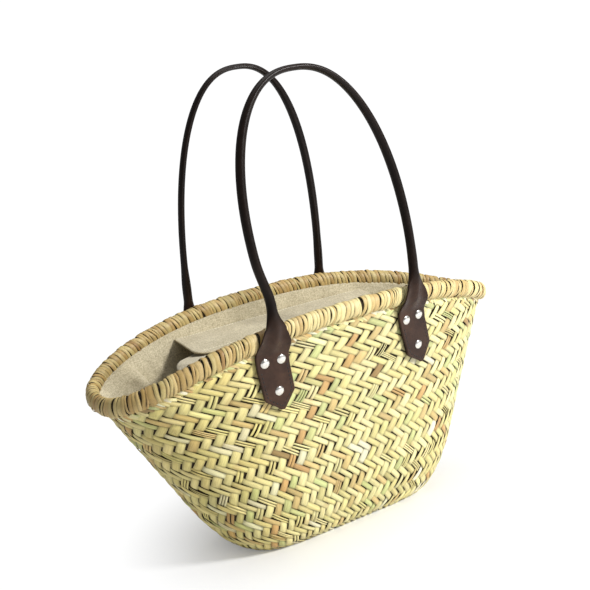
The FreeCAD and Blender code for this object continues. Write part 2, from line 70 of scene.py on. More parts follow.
# Plaiting: strips of each diagonal family once round the body.
STRIPS = 77
ROW_HEIGHT_LOW = 0.0120          # height of one cell of the plait near the floor and near the rim
ROW_HEIGHT_HIGH = 0.0101
CELL_SHEAR = 0.28                # one family lies flatter than the other
FLOAT_REACH = 1.34               # half length of one float, in cells
FLOAT_SEAT = 0.0019              # how deep a float's ends go in
FLOAT_RISE = 0.0027              # how far its middle arches up from there
FLOAT_CROWN = 0.0008             # how far a strip's edges bend down
FLOAT_ROUNDNESS = 0.55
SPLIT_IN_TWO = 0.13              # share of the floats that are split in two or three
SPLIT_IN_THREE = 0.05            # share of the floats that are split in three
STRIP_WIDTH = 0.0085
TEXTURE_REACH = 40.0             # texture starts are drawn from this span
BACKING_DEPTH = 0.0016
BASE_PITCH = 0.0105
BASE_LEVEL = 0.0005              # height at which the base is cut to the heel's outline

# Rim whipping
RIM_COUNT = 2200
TURN_WIDTH = 0.0043
WRAP_PLAY = 0.0005
BUNDLE_INSET = 0.0013
STRAND_ENDS = 250

# Handles and tabs, as in the CAD.
ROLL_RADIUS = 0.005
NECK_X = 0.0835
NECK_RISE = 0.009
NECK_STANDOFF = 0.0102
TAB_HALF_WIDTH = 0.018
TAB_LENGTH = 0.084
CORNER_DROP = 0.069
TAB_LEATHER = 0.002
LINER_LEATHER = 0.0016
TAB_GAP = 0.00025
LINER_TOP_DROP = 0.0255
WALL_BEND = -0.0165              # below this height the tab lies straight on the wall
TIP_ROUND = 0.0012
FLARE_RISE = {"front": 0.020, "back": 0.008}
ARCH = {
    "front": dict(rise=0.2350, half_width=0.0997, fullness=2.39, pinch=0.86, lean=5.4, skew=-0.009),
    "back": dict(rise=0.2462, half_width=0.0868, fullness=2.42, pinch=0.79, lean=5.2, skew=0.009),
}
LEAN_DROPS = (-0.060, -0.028, 0.0, 0.033, 0.064, 0.084)
TAB_LEAN = {                     # sideways drift of the front leather at those drops below the neck
    ("front", -1): (0.0, 0.0035, -0.0028, -0.0062, -0.0022, 0.0010),
    ("front", 1): (0.0, -0.0005, -0.0016, -0.0030, 0.0036, 0.0082),
}
SECTION = 48
ROLL_FLATNESS = {                # thickness in the arch's plane over the full roll, by share of the way along
    "front": ((0.0, 0.06, 0.34, 0.46, 0.54, 0.64, 0.80, 0.94, 1.0),
              (1.0, 0.90, 0.90, 0.62, 0.60, 0.80, 0.94, 0.90, 1.0)),
    "back": ((0.0, 0.06, 0.38, 0.46, 0.54, 0.66, 0.88, 0.95, 1.0),
             (1.0, 0.68, 0.62, 0.54, 0.62, 0.90, 0.90, 0.82, 1.0)),
}
ROLL_TONE_UNDER_TAB_SHEEN = 0.20                 # the roll is painted darker than the tabs: the tabs' lighter tone is a painted sheen
CORE_RADIUS = 0.0024
CORE_SIDES = 12

# Rivets: across the tab and down from the neck; the cap's profile as radius and height over the leather.
RIVETS = ((-0.009, 0.033), (0.009, 0.033), (0.0, 0.064))
RIVET_CAP = ((0.0, 0.00165), (0.0012, 0.00163), (0.0024, 0.00148), (0.0035, 0.00110), (0.0043, 0.00062),
             (0.0048, 0.00022), (0.0049, -0.00005), (0.0018, -0.0002))
RIVET_POST = 0.0018
RIVET_REACH = 0.0116             # from the leather's inner face to the inner plate
RIVET_PLATE = ((0.0042, 0.0001), (0.0045, 0.0005), (0.0040, 0.0009), (0.0, 0.0011))
RIVET_SIDES = 28

# Sewing
STITCH_LENGTH = 0.0026
STITCH_RADIUS = 0.00062
STITCH_PITCH = 0.0039
STITCH_INSET = 0.0036
STITCH_TOP_DROP = 0.039
SEAM_LENGTH = 0.0024
SEAM_RADIUS = 0.00040
SEAM_PITCH = 0.0034

# Canvas
CLOTH = 0.0009
LINING_DEPTH = 0.0075
LINING_FLOOR = 0.0058
LINING_TOP_DROP = 0.0045
FLAP_DEPTH = 0.0094              # the hinge line stands this far inside the wall
FLAP_MARGIN = 0.012
FLAP_CURVE = 3.17
HEM_WIDTH = 0.0075
FLAPS = {
    "back": dict(left=-0.117, right=0.120, seam=0.216, reach=0.057, sag=0.0076, corner=0.014),
    "front": dict(left=-0.160, right=0.146, seam=0.212, reach=0.112, sag=0.0092,
                  tip_left=0.056, tip_right=0.054),
}

# Camera and light
CAMERA_AZIMUTH = -29.76
CAMERA_ELEVATION = 11.58
CAMERA_ROLL = -9.0
CAMERA_TARGET = (-0.00468, 0.0, 0.24598)
CAMERA_DISTANCE = 1.10167
SENSOR_WIDTH = 36.0
LENS = 63.93
SKY_LIGHT = 0.25
SKY_COLOUR = (0.97, 0.985, 1.0, 1.0)
BACKDROP_WHITE = 1.05
FLOOR_HALF_SIZE = 9.0
FLOOR_FADE = (0.05, 0.27)        # the floor turns to plain white between these distances from the middle
LIGHT_AIM = (0.0, 0.0, 0.18)
LIGHTS = (("key", (1.3, -1.9, 1.6), 0.45, 84.0), ("top", (0.2, 0.1, 2.6), 1.8, 24.0))

WHITE = (1.0, 1.0, 1.0)
BLACK = (0.0, 0.0, 0.0)
UP = np.array([0.0, 0.0, 1.0])


# ---------------------------------------------------------------- small tools
def link(obj):
    bpy.context.scene.collection.objects.link(obj)
    return obj


def mesh_object(name, verts, faces, material, uv=None, tint=None, smooth=True):
    """A mesh from arrays; uv and tint are given per vertex."""
    mesh = bpy.data.meshes.new(name)
    faces = faces if isinstance(faces, list) else faces.tolist()
    mesh.from_pydata(np.reshape(verts, (-1, 3)).tolist(), [], faces)
    if smooth:
        mesh.shade_smooth()
    if uv is not None:
        corner = np.zeros(len(mesh.loops), np.int32)
        mesh.loops.foreach_get("vertex_index", corner)
        layer = mesh.uv_layers.new(name="strand")
        layer.data.foreach_set("uv", np.reshape(uv, (-1, 2)).astype(np.float32)[corner].ravel())
    if tint is not None:
        colour = mesh.color_attributes.new("tint", "FLOAT_COLOR", "POINT")
        tint = np.reshape(tint, (-1, 3))
        rgba = np.ones((len(tint), 4), np.float32)
        rgba[:, :3] = tint
        colour.data.foreach_set("color", rgba.ravel())
    mesh.materials.append(material)
    return link(bpy.data.objects.new(name, mesh))


def grid_faces(rows, cols, closed=False):
    """Quads of a rows x cols vertex grid; closed joins the last column to the first."""
    last = cols if closed else cols - 1
    r, c = np.meshgrid(np.arange(rows - 1), np.arange(last), indexing="ij")
    d = (c + 1) % cols
    quads = np.stack([r * cols + c, r * cols + d, (r + 1) * cols + d, (r + 1) * cols + c], -1)
    return quads.reshape(-1, 4)


def patch_object(name, points, template, material, uvs=None, tints=None):
    """Many equal patches of points as one mesh; template holds the faces of one patch."""
    points = np.array(points)
    starts = np.arange(len(points)) * points[0, ..., 0].size
    faces = (template[None] + starts[:, None, None]).reshape(-1, 4)
    return mesh_object(name, points, faces, material, uvs, tints)


def smooth_step(x):
    x = np.clip(x, 0.0, 1.0)
    return x * x * (3.0 - 2.0 * x)


def unit(v):
    return v / np.linalg.norm(v, axis=-1, keepdims=True)


def full_turn(count):
    """Even angles round a closed ring."""
    return np.linspace(0.0, 2.0 * math.pi, count + 1)[:-1]


def distance_along(path):
    """The running length of a path at each of its points."""
    return np.concatenate([[0.0], np.cumsum(np.linalg.norm(np.diff(path, axis=0), axis=1))])


def resample(path, run, places):
    """The path's values at other places of its running length."""
    return np.stack([np.interp(places, run, path[:, k]) for k in range(3)], -1)


def blur(at, places, values, spread):
    """A line of straight stretches, read at the places asked for and averaged over a spread about each."""
    return np.mean([np.interp(at + shift, places, values) for shift in spread], 0)


# ---------------------------------------------------------------- body surface
def half_sizes(z, depth=0.0):
    """Half length and half depth of the body at a height, at a depth inside its outer surface."""
    rise = np.clip(z / HEEL_HEIGHT, 0.0, 1.0)
    inset = HEEL_INSET * (1.0 - np.sqrt(1.0 - (1.0 - rise) ** 2))
    thick = depth * (1.0 + HEEL_THICKENING * (1.0 - rise) ** 2)
    return BASE_HALF_LENGTH + SIDE_FLARE * z - inset - thick, BASE_HALF_DEPTH + FACE_FLARE * z - inset - thick


def wall_y(x, z, depth=0.0):
    """Half depth of the body at x and z, at a depth inside its outer surface."""
    x, z = np.broadcast_arrays(np.asarray(x, float), np.asarray(z, float))
    climb = np.clip(z / RIM_HEIGHT, 0.0, 1.0)
    end_top = np.where(x > 0, RIGHT_POWERS[0], LEFT_POWERS[0])
    face_top = np.where(x > 0, RIGHT_POWERS[1], LEFT_POWERS[1])
    end = BASE_POWERS[0] + (end_top - BASE_POWERS[0]) * climb
    face = BASE_POWERS[1] + (face_top - BASE_POWERS[1]) * climb
    length, half = half_sizes(z, depth)
    ratio = np.minimum(np.abs(x) / length, 1.0)
    return half * (1.0 - ratio ** (2.0 / end)) ** (face / 2.0)


def rim_z(x):
    """Height of the drooping rim."""
    return RIM_HEIGHT - RIM_DROOP * (np.abs(x) / MOUTH_HALF_LENGTH) ** DROOP_POWER


def section(turn, z):
    """The body's outline at a height, or along a line of heights."""
    x = half_sizes(z)[0] * np.cos(turn)
    return np.stack([x, wall_y(x, z) * np.sign(np.sin(turn)), np.broadcast_to(z, x.shape)], -1)


class Surface:
    """The body's surface as a table over the share of the way round and the climb from the floor."""

    def __init__(self):
        swing = np.linspace(math.pi / 2, 0.0, 22)
        heel_z = HEEL_HEIGHT * (1.0 - np.sin(swing))
        wall_z = np.linspace(HEEL_HEIGHT, TABLE_TOP, 70)[1:]
        self.z = np.concatenate([heel_z, wall_z])
        turns = np.linspace(-math.pi / 2, 1.5 * math.pi, 4001)
        share = np.linspace(0.0, 1.0, TABLE_AROUND + 1)[:-1]
        rows, length = [], []
        for z in self.z:
            ring = section(turns, z)
            run = distance_along(ring)
            rows.append(resample(ring, run / run[-1], share))
            length.append(run[-1])
        self.points = np.array(rows)
        self.length = np.array(length)
        east = np.roll(self.points, -2, 1) - np.roll(self.points, 2, 1)
        north = np.gradient(self.points, axis=0)
        self.normals = unit(np.cross(east, north))
        middle = np.linalg.norm(np.diff(self.points[:, 0], axis=0), axis=1)
        level = 0.5 * (self.z[1:] + self.z[:-1]) / RIM_HEIGHT
        height = ROW_HEIGHT_LOW + (ROW_HEIGHT_HIGH - ROW_HEIGHT_LOW) * np.clip((level - 0.25) / 0.5, 0.0, 1.0)
        self.cells = np.concatenate([[0.0], np.cumsum(middle / height)])

    def row_of_cells(self, cells):
        return np.interp(cells, self.cells, np.arange(len(self.z)))

    def row_of_z(self, z):
        return np.interp(z, self.z, np.arange(len(self.z)))

    def at(self, share, row, off=0.0):
        """Point and outward normal, off metres outside the surface."""
        rows, around = self.points.shape[:2]
        s = np.mod(share, 1.0) * around
        i = np.floor(s).astype(int)
        fs = (s - i)[..., None]
        i %= around
        j = (i + 1) % around
        r = np.clip(row, 0.0, rows - 1.001)
        a = np.floor(r).astype(int)
        fr = (r - a)[..., None]

        def mix(table):
            low = table[a, i] * (1 - fs) + table[a, j] * fs
            high = table[a + 1, i] * (1 - fs) + table[a + 1, j] * fs
            return low * (1 - fr) + high * fr

        normal = unit(mix(self.normals))
        return mix(self.points) + normal * off, normal


BODY = Surface()


# ---------------------------------------------------------------- materials
def new_material(name):
    """An empty principled material, its shader and the short names for its nodes."""
    material = bpy.data.materials.new(name)
    material.use_nodes = True
    tree = material.node_tree
    tree.nodes.clear()
    out = tree.nodes.new("ShaderNodeOutputMaterial")
    shader = tree.nodes.new("ShaderNodeBsdfPrincipled")
    tree.links.new(shader.outputs[0], out.inputs[0])
    return material, shader, Nodes(tree)


class Nodes:
    """Short names for the nodes that the materials use."""

    def __init__(self, tree):
        self.tree = tree

    def add(self, kind, **values):
        node = self.tree.nodes.new(kind)
        for key, value in values.items():
            setattr(node, key, value)
        return node

    def wire(self, source, target):
        self.tree.links.new(source, target)

    def feed(self, socket, value):
        if isinstance(value, bpy.types.NodeSocket):
            self.wire(value, socket)
        else:
            socket.default_value = value

    def set(self, node, **values):
        """Wire or set a node's inputs, named with underscores for spaces."""
        for key, value in values.items():
            self.feed(node.inputs[key.replace("_", " ")], value)

    def position(self):
        return self.add("ShaderNodeTexCoord").outputs["Object"]

    def strand(self):
        return self.add("ShaderNodeUVMap", uv_map="strand").outputs[0]

    def tint(self):
        return self.add("ShaderNodeAttribute", attribute_name="tint").outputs["Color"]

    def scaled(self, vector, scale):
        node = self.add("ShaderNodeMapping")
        self.set(node, Scale=scale, Vector=vector)
        return node.outputs[0]

    def noise(self, vector, scale, detail=3.0, rough=0.5):
        node = self.add("ShaderNodeTexNoise")
        self.set(node, Scale=scale, Detail=detail, Roughness=rough, Vector=vector)
        return node.outputs["Fac"]

    def ramp(self, value, stops):
        node = self.add("ShaderNodeValToRGB")
        ramp = node.color_ramp
        while len(ramp.elements) < len(stops):
            ramp.elements.new(0.5)
        for element, (place, colour) in zip(ramp.elements, stops):
            element.position = place
            element.color = (*colour, 1.0)
        self.wire(value, node.inputs[0])
        return node.outputs[0]

    def span(self, value, low, high):
        node = self.add("ShaderNodeMapRange")
        self.set(node, To_Min=low, To_Max=high, Value=value)
        return node.outputs[0]

    def times(self, share, a, b):
        """A colour multiplied by another, by a share of the way."""
        return self.mix("MULTIPLY", share, a, b)

    def mix(self, kind, share, a, b):
        node = self.add("ShaderNodeMix", data_type="RGBA", blend_type=kind)
        self.feed(node.inputs[0], share)
        for slot, value in ((6, a), (7, b)):
            self.feed(node.inputs[slot], (*value, 1.0) if isinstance(value, tuple) else value)
        return node.outputs[2]

    def math(self, kind, a, b=0.0):
        node = self.add("ShaderNodeMath", operation=kind)
        self.feed(node.inputs[0], a)
        self.feed(node.inputs[1], b)
        return node.outputs[0]

    def bump(self, height, strength, distance, normal=None):
        node = self.add("ShaderNodeBump")
        self.set(node, Strength=strength, Distance=distance, Height=height)
        if normal is not None:
            self.wire(normal, node.inputs["Normal"])
        return node.outputs[0]


def straw_material(name, stain):
    """Dried palm leaf: the strip's own colour, fibres along it, stains and a satin skin."""
    material, shader, n = new_material(name)
    strand = n.strand()
    fibre = n.noise(n.scaled(strand, (60.0, 2600.0, 1.0)), 1.0, 3.0, 0.6)
    broad = n.noise(n.scaled(strand, (40.0, 420.0, 1.0)), 1.0, 2.0)
    spots = n.noise(n.position(), 55.0, 3.0)
    streaks = n.ramp(fibre, [(0.30, (0.80, 0.77, 0.70)), (0.52, WHITE), (0.75, (1.06, 1.05, 1.02))])
    colour = n.times(1.0, n.tint(), streaks)
    colour = n.times(0.8, colour, n.ramp(broad, [(0.30, (0.86, 0.84, 0.78)), (0.60, WHITE)]))
    marks = n.ramp(spots, [(0.60, BLACK), (0.74, WHITE)])
    colour = n.mix("MIX", n.math("MULTIPLY", marks, stain), colour, (0.42, 0.25, 0.09))
    n.set(shader, Base_Color=colour, Roughness=n.span(broad, 0.38, 0.58), Specular_IOR_Level=0.45,
          Normal=n.bump(fibre, 0.55, 0.00035))
    return material


def gap_shade_material():
    """The inner plait seen in the gaps, painted dark brown and dull as the shade that fills them."""
    material, shader, n = new_material("straw_shadow")
    grain = n.noise(n.position(), 320.0, 4.0)
    colour = n.ramp(grain, [(0.35, (0.016, 0.009, 0.003)), (0.7, (0.060, 0.038, 0.014))])
    n.set(shader, Base_Color=colour, Roughness=0.85, Normal=n.bump(grain, 0.6, 0.0006))
    return material


def canvas_material():
    """Plain-woven cotton: crossed threads, slubs and a soft mottling."""
    material, shader, n = new_material("canvas")
    strand = n.strand()
    split = n.add("ShaderNodeSeparateXYZ")
    n.wire(strand, split.inputs[0])
    thread = 2.0 * math.pi / 0.00095
    warp = n.math("SINE", n.math("MULTIPLY", split.outputs[0], thread))
    weft = n.math("SINE", n.math("MULTIPLY", split.outputs[1], thread))
    weave = n.span(n.math("MULTIPLY", warp, weft), 0.0, 1.0)
    slub = n.noise(n.scaled(strand, (90.0, 900.0, 1.0)), 1.0, 3.0)
    cross = n.noise(n.scaled(strand, (900.0, 90.0, 1.0)), 1.0, 3.0)
    mottle = n.noise(n.position(), 26.0, 4.0)
    grain = n.noise(n.position(), 620.0, 3.0, 0.7)
    colour = n.ramp(mottle, [(0.3, (0.500, 0.440, 0.305)), (0.7, (0.640, 0.575, 0.420))])
    both = n.math("ADD", n.math("MULTIPLY", slub, 0.5), n.math("MULTIPLY", cross, 0.5))
    colour = n.times(1.0, colour, n.ramp(both, [(0.36, (0.82, 0.80, 0.76)), (0.62, (1.06, 1.06, 1.05))]))
    colour = n.times(1.0, colour, n.ramp(grain, [(0.38, (0.74, 0.73, 0.70)), (0.58, (1.08, 1.08, 1.07))]))
    colour = n.times(0.7, colour, n.ramp(weave, [(0.2, (0.90, 0.89, 0.87)), (0.8, WHITE)]))
    n.set(shader, Base_Color=colour, Roughness=0.92, Specular_IOR_Level=0.15, Sheen_Weight=0.25,
          Normal=n.bump(slub, 0.35, 0.0006, n.bump(weave, 0.35, 0.0003)))
    return material


def leather_material(name, dark, light, rough, tab_sheen_toned=False):
    """Waxed leather: fine pores, creases, rubbed lighter patches, soft sheen."""
    material, shader, n = new_material(name)
    place = n.position()
    pores = n.add("ShaderNodeTexVoronoi", feature="DISTANCE_TO_EDGE")
    n.set(pores, Scale=1500.0, Vector=place)
    crease = n.noise(place, 240.0, 4.0, 0.6)
    colour = n.ramp(n.noise(place, 32.0, 3.0), [(0.35, dark), (0.70, light)])
    # Painted sheen: the tint darkens the roll against the tabs, whose lighter tone stands in for their sheen.
    if tab_sheen_toned:
        colour = n.times(1.0, colour, n.tint())
    colour = n.times(0.8, colour, n.ramp(crease, [(0.35, (0.72, 0.70, 0.68)), (0.6, WHITE)]))
    edge = n.ramp(pores.outputs["Distance"], [(0.0, BLACK), (0.12, WHITE)])
    n.set(shader, Base_Color=colour, Roughness=n.span(crease, rough - 0.07, rough + 0.10),
          Specular_IOR_Level=0.20, Normal=n.bump(crease, 0.13, 0.00025, n.bump(edge, 0.18, 0.00012)))
    return material


def nickel_material():
    """Bright nickel, a little worn and dented."""
    material, shader, n = new_material("nickel")
    place = n.position()
    wear = n.noise(place, 900.0, 4.0)
    dents = n.noise(place, 260.0, 2.0)
    colour = n.ramp(wear, [(0.3, (0.66, 0.63, 0.57)), (0.7, (0.88, 0.86, 0.82))])
    n.set(shader, Base_Color=colour, Metallic=1.0, Roughness=n.span(wear, 0.16, 0.34),
          Normal=n.bump(dents, 0.25, 0.0006))
    return material


def thread_material(name, colour):
    """Twisted thread: slanted plies, with a painted highlight on their crowns."""
    material, shader, n = new_material(name)
    ply = n.add("ShaderNodeTexWave", bands_direction="DIAGONAL")
    n.set(ply, Scale=700.0, Vector=n.position())
    # Painted highlight: the ply crowns are lighter than the thread's own colour.
    painted_crown_highlight = tuple(min(1.0, c * 1.8) for c in colour)
    n.set(shader, Base_Color=n.ramp(ply.outputs["Fac"], [(0.2, colour), (0.9, painted_crown_highlight)]), Roughness=0.6,
          Normal=n.bump(ply.outputs["Fac"], 0.5, 0.0002))
    return material


def floor_material():
    """Pale and matt near the object, and as white as the backdrop further off."""
    material, shader, n = new_material("studio_floor")
    place = n.position()
    colour = n.ramp(n.noise(place, 3.0, 2.0), [(0.0, (0.90, 0.90, 0.90)), (1.0, (0.93, 0.93, 0.93))])
    n.set(shader, Base_Color=colour, Roughness=0.9)
    away = n.add("ShaderNodeVectorMath", operation="LENGTH")
    n.wire(place, away.inputs[0])
    share = n.add("ShaderNodeMapRange", interpolation_type="SMOOTHSTEP")
    n.set(share, Value=away.outputs["Value"], From_Min=FLOOR_FADE[0], From_Max=FLOOR_FADE[1])
    glow = n.add("ShaderNodeEmission")
    n.set(glow, Strength=BACKDROP_WHITE)
    blend = n.add("ShaderNodeMixShader")
    seen = n.add("ShaderNodeLightPath").outputs["Is Camera Ray"]
    n.wire(n.math("MULTIPLY", share.outputs[0], seen), blend.inputs[0])
    n.wire(shader.outputs[0], blend.inputs[1])
    n.wire(glow.outputs[0], blend.inputs[2])
    n.wire(blend.outputs[0], next(node for node in n.tree.nodes if node.type == "OUTPUT_MATERIAL").inputs[0])
    return material


STRAW = straw_material("straw", 0.35)
WRAP = straw_material("straw_wrap", 0.55)
SHADOW = gap_shade_material()
CANVAS = canvas_material()
LEATHER = leather_material("leather", (0.0300, 0.0138, 0.0088), (0.0640, 0.0318, 0.0192), 0.32, True)
LEATHER_EDGE = leather_material("leather_edge", (0.022, 0.012, 0.008), (0.050, 0.029, 0.018), 0.55)
NICKEL = nickel_material()
THREAD = thread_material("waxed_thread", (0.004, 0.003, 0.002))
CREAM_THREAD = thread_material("cotton_thread", (0.62, 0.56, 0.42))
CORD = thread_material("cotton_cord", (0.50, 0.44, 0.33))
FLOOR = floor_material()

# Strip colours, linear: bleached, cream, yellow, green, tan, orange, brown.
STRAW_TINTS = np.array([
    (0.92, 0.88, 0.62), (0.88, 0.80, 0.41), (0.82, 0.73, 0.33), (0.64, 0.67, 0.30),
    (0.73, 0.56, 0.25), (0.66, 0.43, 0.17), (0.40, 0.27, 0.11)])
WRAP_TINTS = np.array([
    (0.79, 0.67, 0.33), (0.73, 0.57, 0.26), (0.63, 0.46, 0.19), (0.48, 0.31, 0.12), (0.30, 0.18, 0.07)])


def pick_tints(table, odds, count, jitter):
    """Random strip colours from a table, each a little lighter, darker or redder."""
    chosen = table[RNG.choice(len(table), count, p=np.array(odds) / sum(odds))]
    glow = 1.0 + jitter * RNG.normal(size=(count, 1))
    hue = 1.0 + 0.3 * jitter * RNG.normal(size=(count, 3))
    return np.clip(chosen * glow * hue, 0.02, 0.98)


def strand_uv(along, across):
    """Texture place of a patch, from metres along and across its strip, at a random start."""
    shift = RNG.uniform(0, TEXTURE_REACH, 2)
    return np.stack([along + shift[0], across + shift[1]], -1)


# ---------------------------------------------------------------- camera
def build_camera():
    azimuth, elevation, roll = (math.radians(a) for a in (CAMERA_AZIMUTH, CAMERA_ELEVATION, CAMERA_ROLL))
    back = Vector((math.sin(azimuth) * math.cos(elevation), -math.cos(azimuth) * math.cos(elevation),
                   math.sin(elevation)))
    right = Vector((math.cos(azimuth), math.sin(azimuth), 0.0))
    up = back.cross(right)
    turned_right = right * math.cos(roll) + up * math.sin(roll)
    turned_up = up * math.cos(roll) - right * math.sin(roll)
    data = bpy.data.cameras.new("camera")
    data.sensor_width = SENSOR_WIDTH
    data.lens = LENS
    camera = link(bpy.data.objects.new("camera", data))
    place = Vector(CAMERA_TARGET) + back * CAMERA_DISTANCE
    camera.matrix_world = Matrix([[turned_right[i], turned_up[i], back[i], place[i]] for i in range(3)]
                                 + [[0, 0, 0, 1]])
    bpy.context.scene.camera = camera


# ---------------------------------------------------------------- plaited body
def float_middle(family, strip, block):
    """The middle of one float of the two-over-two twill, counted in strips of both families."""
    if family == 0:
        return strip + 0.5, strip + 4.0 * block
    return strip + 3.0 + 4.0 * block, strip + 0.5


def weave_patches():
    """Every visible float of the wall: its family, its strip and its middle."""
    top_cells = float(BODY.cells[-1])
    low, high = -2 * int(top_cells) - 8, 4
    found = []
    for family in (0, 1):
        for strip in range(STRIPS):
            for block in range(low // 4 - 2, high // 4 + 2 + int(top_cells)):
                p, q = float_middle(family, strip, block)
                if -0.2 < 0.5 * (p - q) < top_cells:
                    found.append((family, strip, p, q))
    return found


def patch_grid(along, across):
    """Template coordinates of one float: along from its middle, across in widths."""
    a = np.linspace(-1.0, 1.0, along)
    b = np.linspace(-0.5, 0.5, across)
    return np.meshgrid(a, b, indexing="ij")


def float_arch(a):
    """A float's rise from its ends to its middle."""
    return np.cos(a * math.pi * 0.5) ** FLOAT_ROUNDNESS


def press(points, off):
    """Heights of the plait's points off the wall, pressed flat under the tabs."""
    drop = rim_z(points[..., 0]) - points[..., 2]
    under = 0.0
    for side in (-1, 1):
        drift = np.where(points[..., 1] < 0, tab_lean("front", side, drop + NECK_RISE), 0.0)
        x = np.abs(points[..., 0] - side * NECK_X - drift)
        under = under + smooth_step((0.0220 - x) / 0.004) * smooth_step((0.080 - drop) / 0.006)
    return np.where(off > -0.0004, off * (1 - under) - 0.0003 * under, off)


def float_strands(a, b, tint, strip_width):
    """The strands of one float, whole or split: place along and across, height, texture place and colour,
    with painted shade at its sides and ends.
    """
    split = RNG.random()
    strands = 1 if split > SPLIT_IN_TWO else (2 if split > SPLIT_IN_THREE else 3)
    whole = strip_width * RNG.uniform(0.91, 1.05)
    lift = RNG.normal(0.0, 0.00012)
    tilt = RNG.normal(0.0, 0.00030)
    skew = RNG.normal(0.0, 0.050)
    slide = RNG.normal(0.0, 0.06)
    arch = float_arch(a)
    # Painted shade: each float is darker at its sides and towards its ends, where it bends down under the
    # crossing strips.
    edge = 1.0 - 0.42 * np.abs(2 * b) ** 4 - 0.62 * np.clip(np.abs(a) - 0.70, 0, 1) / 0.30
    for strand in range(strands):
        width = whole / strands * (1.0 if strands == 1 else 0.80)
        middle = (strand - 0.5 * (strands - 1)) * whole / strands
        along = a * (FLOAT_REACH + RNG.normal(0.0, 0.02)) + slide
        across = b * width + middle + skew * a + (0 if strands == 1 else RNG.normal(0, 0.02))
        off = -FLOAT_SEAT + FLOAT_RISE * arch - FLOAT_CROWN * (2 * b) ** 2 * arch + lift + tilt * 2 * b
        if strands > 1:
            off = off + RNG.normal(0.0, 0.00015) - 0.0002
        yield along, across, off, strand_uv(along * STRIP_WIDTH, across * STRIP_WIDTH), tint * edge[..., None]


def build_weave():
    """The wall's twill: short arched patches of palm strip, laid on the body's surface."""
    floats = weave_patches()
    strip_tint = {f: pick_tints(STRAW_TINTS, (1.5, 10, 9, 1.6, 1.6, 0.5, 0.1), STRIPS, 0.04) for f in (0, 1)}
    strip_width = {f: RNG.uniform(0.80, 0.97, STRIPS) for f in (0, 1)}
    loose = pick_tints(STRAW_TINTS, (1.1, 10, 9, 1.6, 2.2, 1.0, 0.3), len(floats), 0.05)
    rows, cols = 11, 5
    a, b = patch_grid(rows, cols)
    strands = []
    for index, (family, strip, p, q) in enumerate(floats):
        own = RNG.random()
        tint = strip_tint[family][strip] if own < 0.45 else loose[index]
        tint = tint * RNG.uniform(0.88, 1.06)
        for along, across, *looks in float_strands(a, b, tint, strip_width[family][strip]):
            turned = (p + across, q + along) if family == 0 else (p + along, q - across)
            strands.append((*turned, *looks))
    p, q, off, uv, tint = (np.array(values) for values in zip(*strands))
    cells = 0.5 * (p - q)
    share = (0.5 * (p + q) - CELL_SHEAR * cells) / STRIPS
    points, normal = BODY.at(share, BODY.row_of_cells(cells))
    centre = points[:, rows // 2, cols // 2]
    keep = centre[:, 2] < rim_z(centre[:, 0]) + 0.002
    points, normal = points[keep], normal[keep]
    # Partly painted shade: the straw is darker towards the left end, the side away from the key light, and
    # partly a browner straw there.
    shade_and_browning = smooth_step((-points[..., :1] - 0.02) / 0.14)
    tint = tint[keep] * (1.0 - shade_and_browning * np.array([0.12, 0.16, 0.32]))
    points = points + normal * press(points, off[keep])[..., None]
    points[..., 2] = np.clip(points[..., 2], 0.0004, rim_z(points[..., 0]) - 0.001)
    weave = patch_object("plaited_wall", points, grid_faces(rows, cols), STRAW, uv[keep], tint)
    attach(weave, "basket")


def build_backing():
    """The inner layer behind the gaps, from the floor to inside the rim, in the painted shade of the gaps."""
    share = np.linspace(0.0, 1.0, 361)[:-1]
    near_rim = BODY.at(share, np.full(share.shape, len(BODY.z) - 30.0))[0]
    top = BODY.row_of_z(rim_z(near_rim[:, 0]) - 0.002)
    points = np.array([BODY.at(share, top * level, -BACKING_DEPTH)[0] for level in np.linspace(0.0, 1.0, 60)])
    points[0, :, 2] = 0.0012
    faces = grid_faces(len(points), len(share), True).tolist()
    faces.append(list(range(len(share)))[::-1])
    backing = mesh_object("plait_backing", points, faces, SHADOW, smooth=False)
    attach(backing, "basket")
    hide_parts("basket_shell")


def base_patch(a, b, family, p, q):
    """One float of the base, cut to the heel's outline."""
    along, across = a * 1.3, b * 0.9
    p = p + (across if family == 0 else along)
    q = q + (along if family == 0 else -across)
    reach_x = half_sizes(BASE_LEVEL)[0] - 0.004
    x = np.clip(0.5 * (p + q) * BASE_PITCH, -reach_x, reach_x)
    reach_y = wall_y(x, BASE_LEVEL)
    y = np.clip(0.5 * (p - q) * BASE_PITCH, -reach_y, reach_y)
    return np.stack([x, y, 0.0022 - 0.0016 * float_arch(a) + 0.0004 * (2 * b) ** 2], -1)


def build_base_weave():
    """The flat underside: the same twill in the plane."""
    a, b = patch_grid(9, 4)
    verts, uvs, tints = [], [], []
    reach = int(0.16 / (BASE_PITCH * 0.707)) + 4
    for family in (0, 1):
        for strip in range(-reach, reach):
            for block in range(-reach // 2, reach // 2):
                p, q = float_middle(family, strip, block)
                x, y = 0.5 * (p + q) * BASE_PITCH, 0.5 * (p - q) * BASE_PITCH
                edge = wall_y(x, BASE_LEVEL) if abs(x) < half_sizes(BASE_LEVEL)[0] else 0.0
                if abs(y) > edge - 0.002:
                    continue
                verts.append(base_patch(a, b, family, p, q))
                uvs.append(strand_uv(a * 1.3 * STRIP_WIDTH, b * 0.9 * STRIP_WIDTH))
                tint = pick_tints(STRAW_TINTS, (3, 6, 6, 2, 4, 2, 1), 1, 0.06)[0]
                tints.append(np.broadcast_to(tint * 0.9, (*a.shape, 3)))
    base = patch_object("plaited_base", verts, grid_faces(*a.shape)[:, ::-1], STRAW, uvs, tints)
    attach(base, "basket")


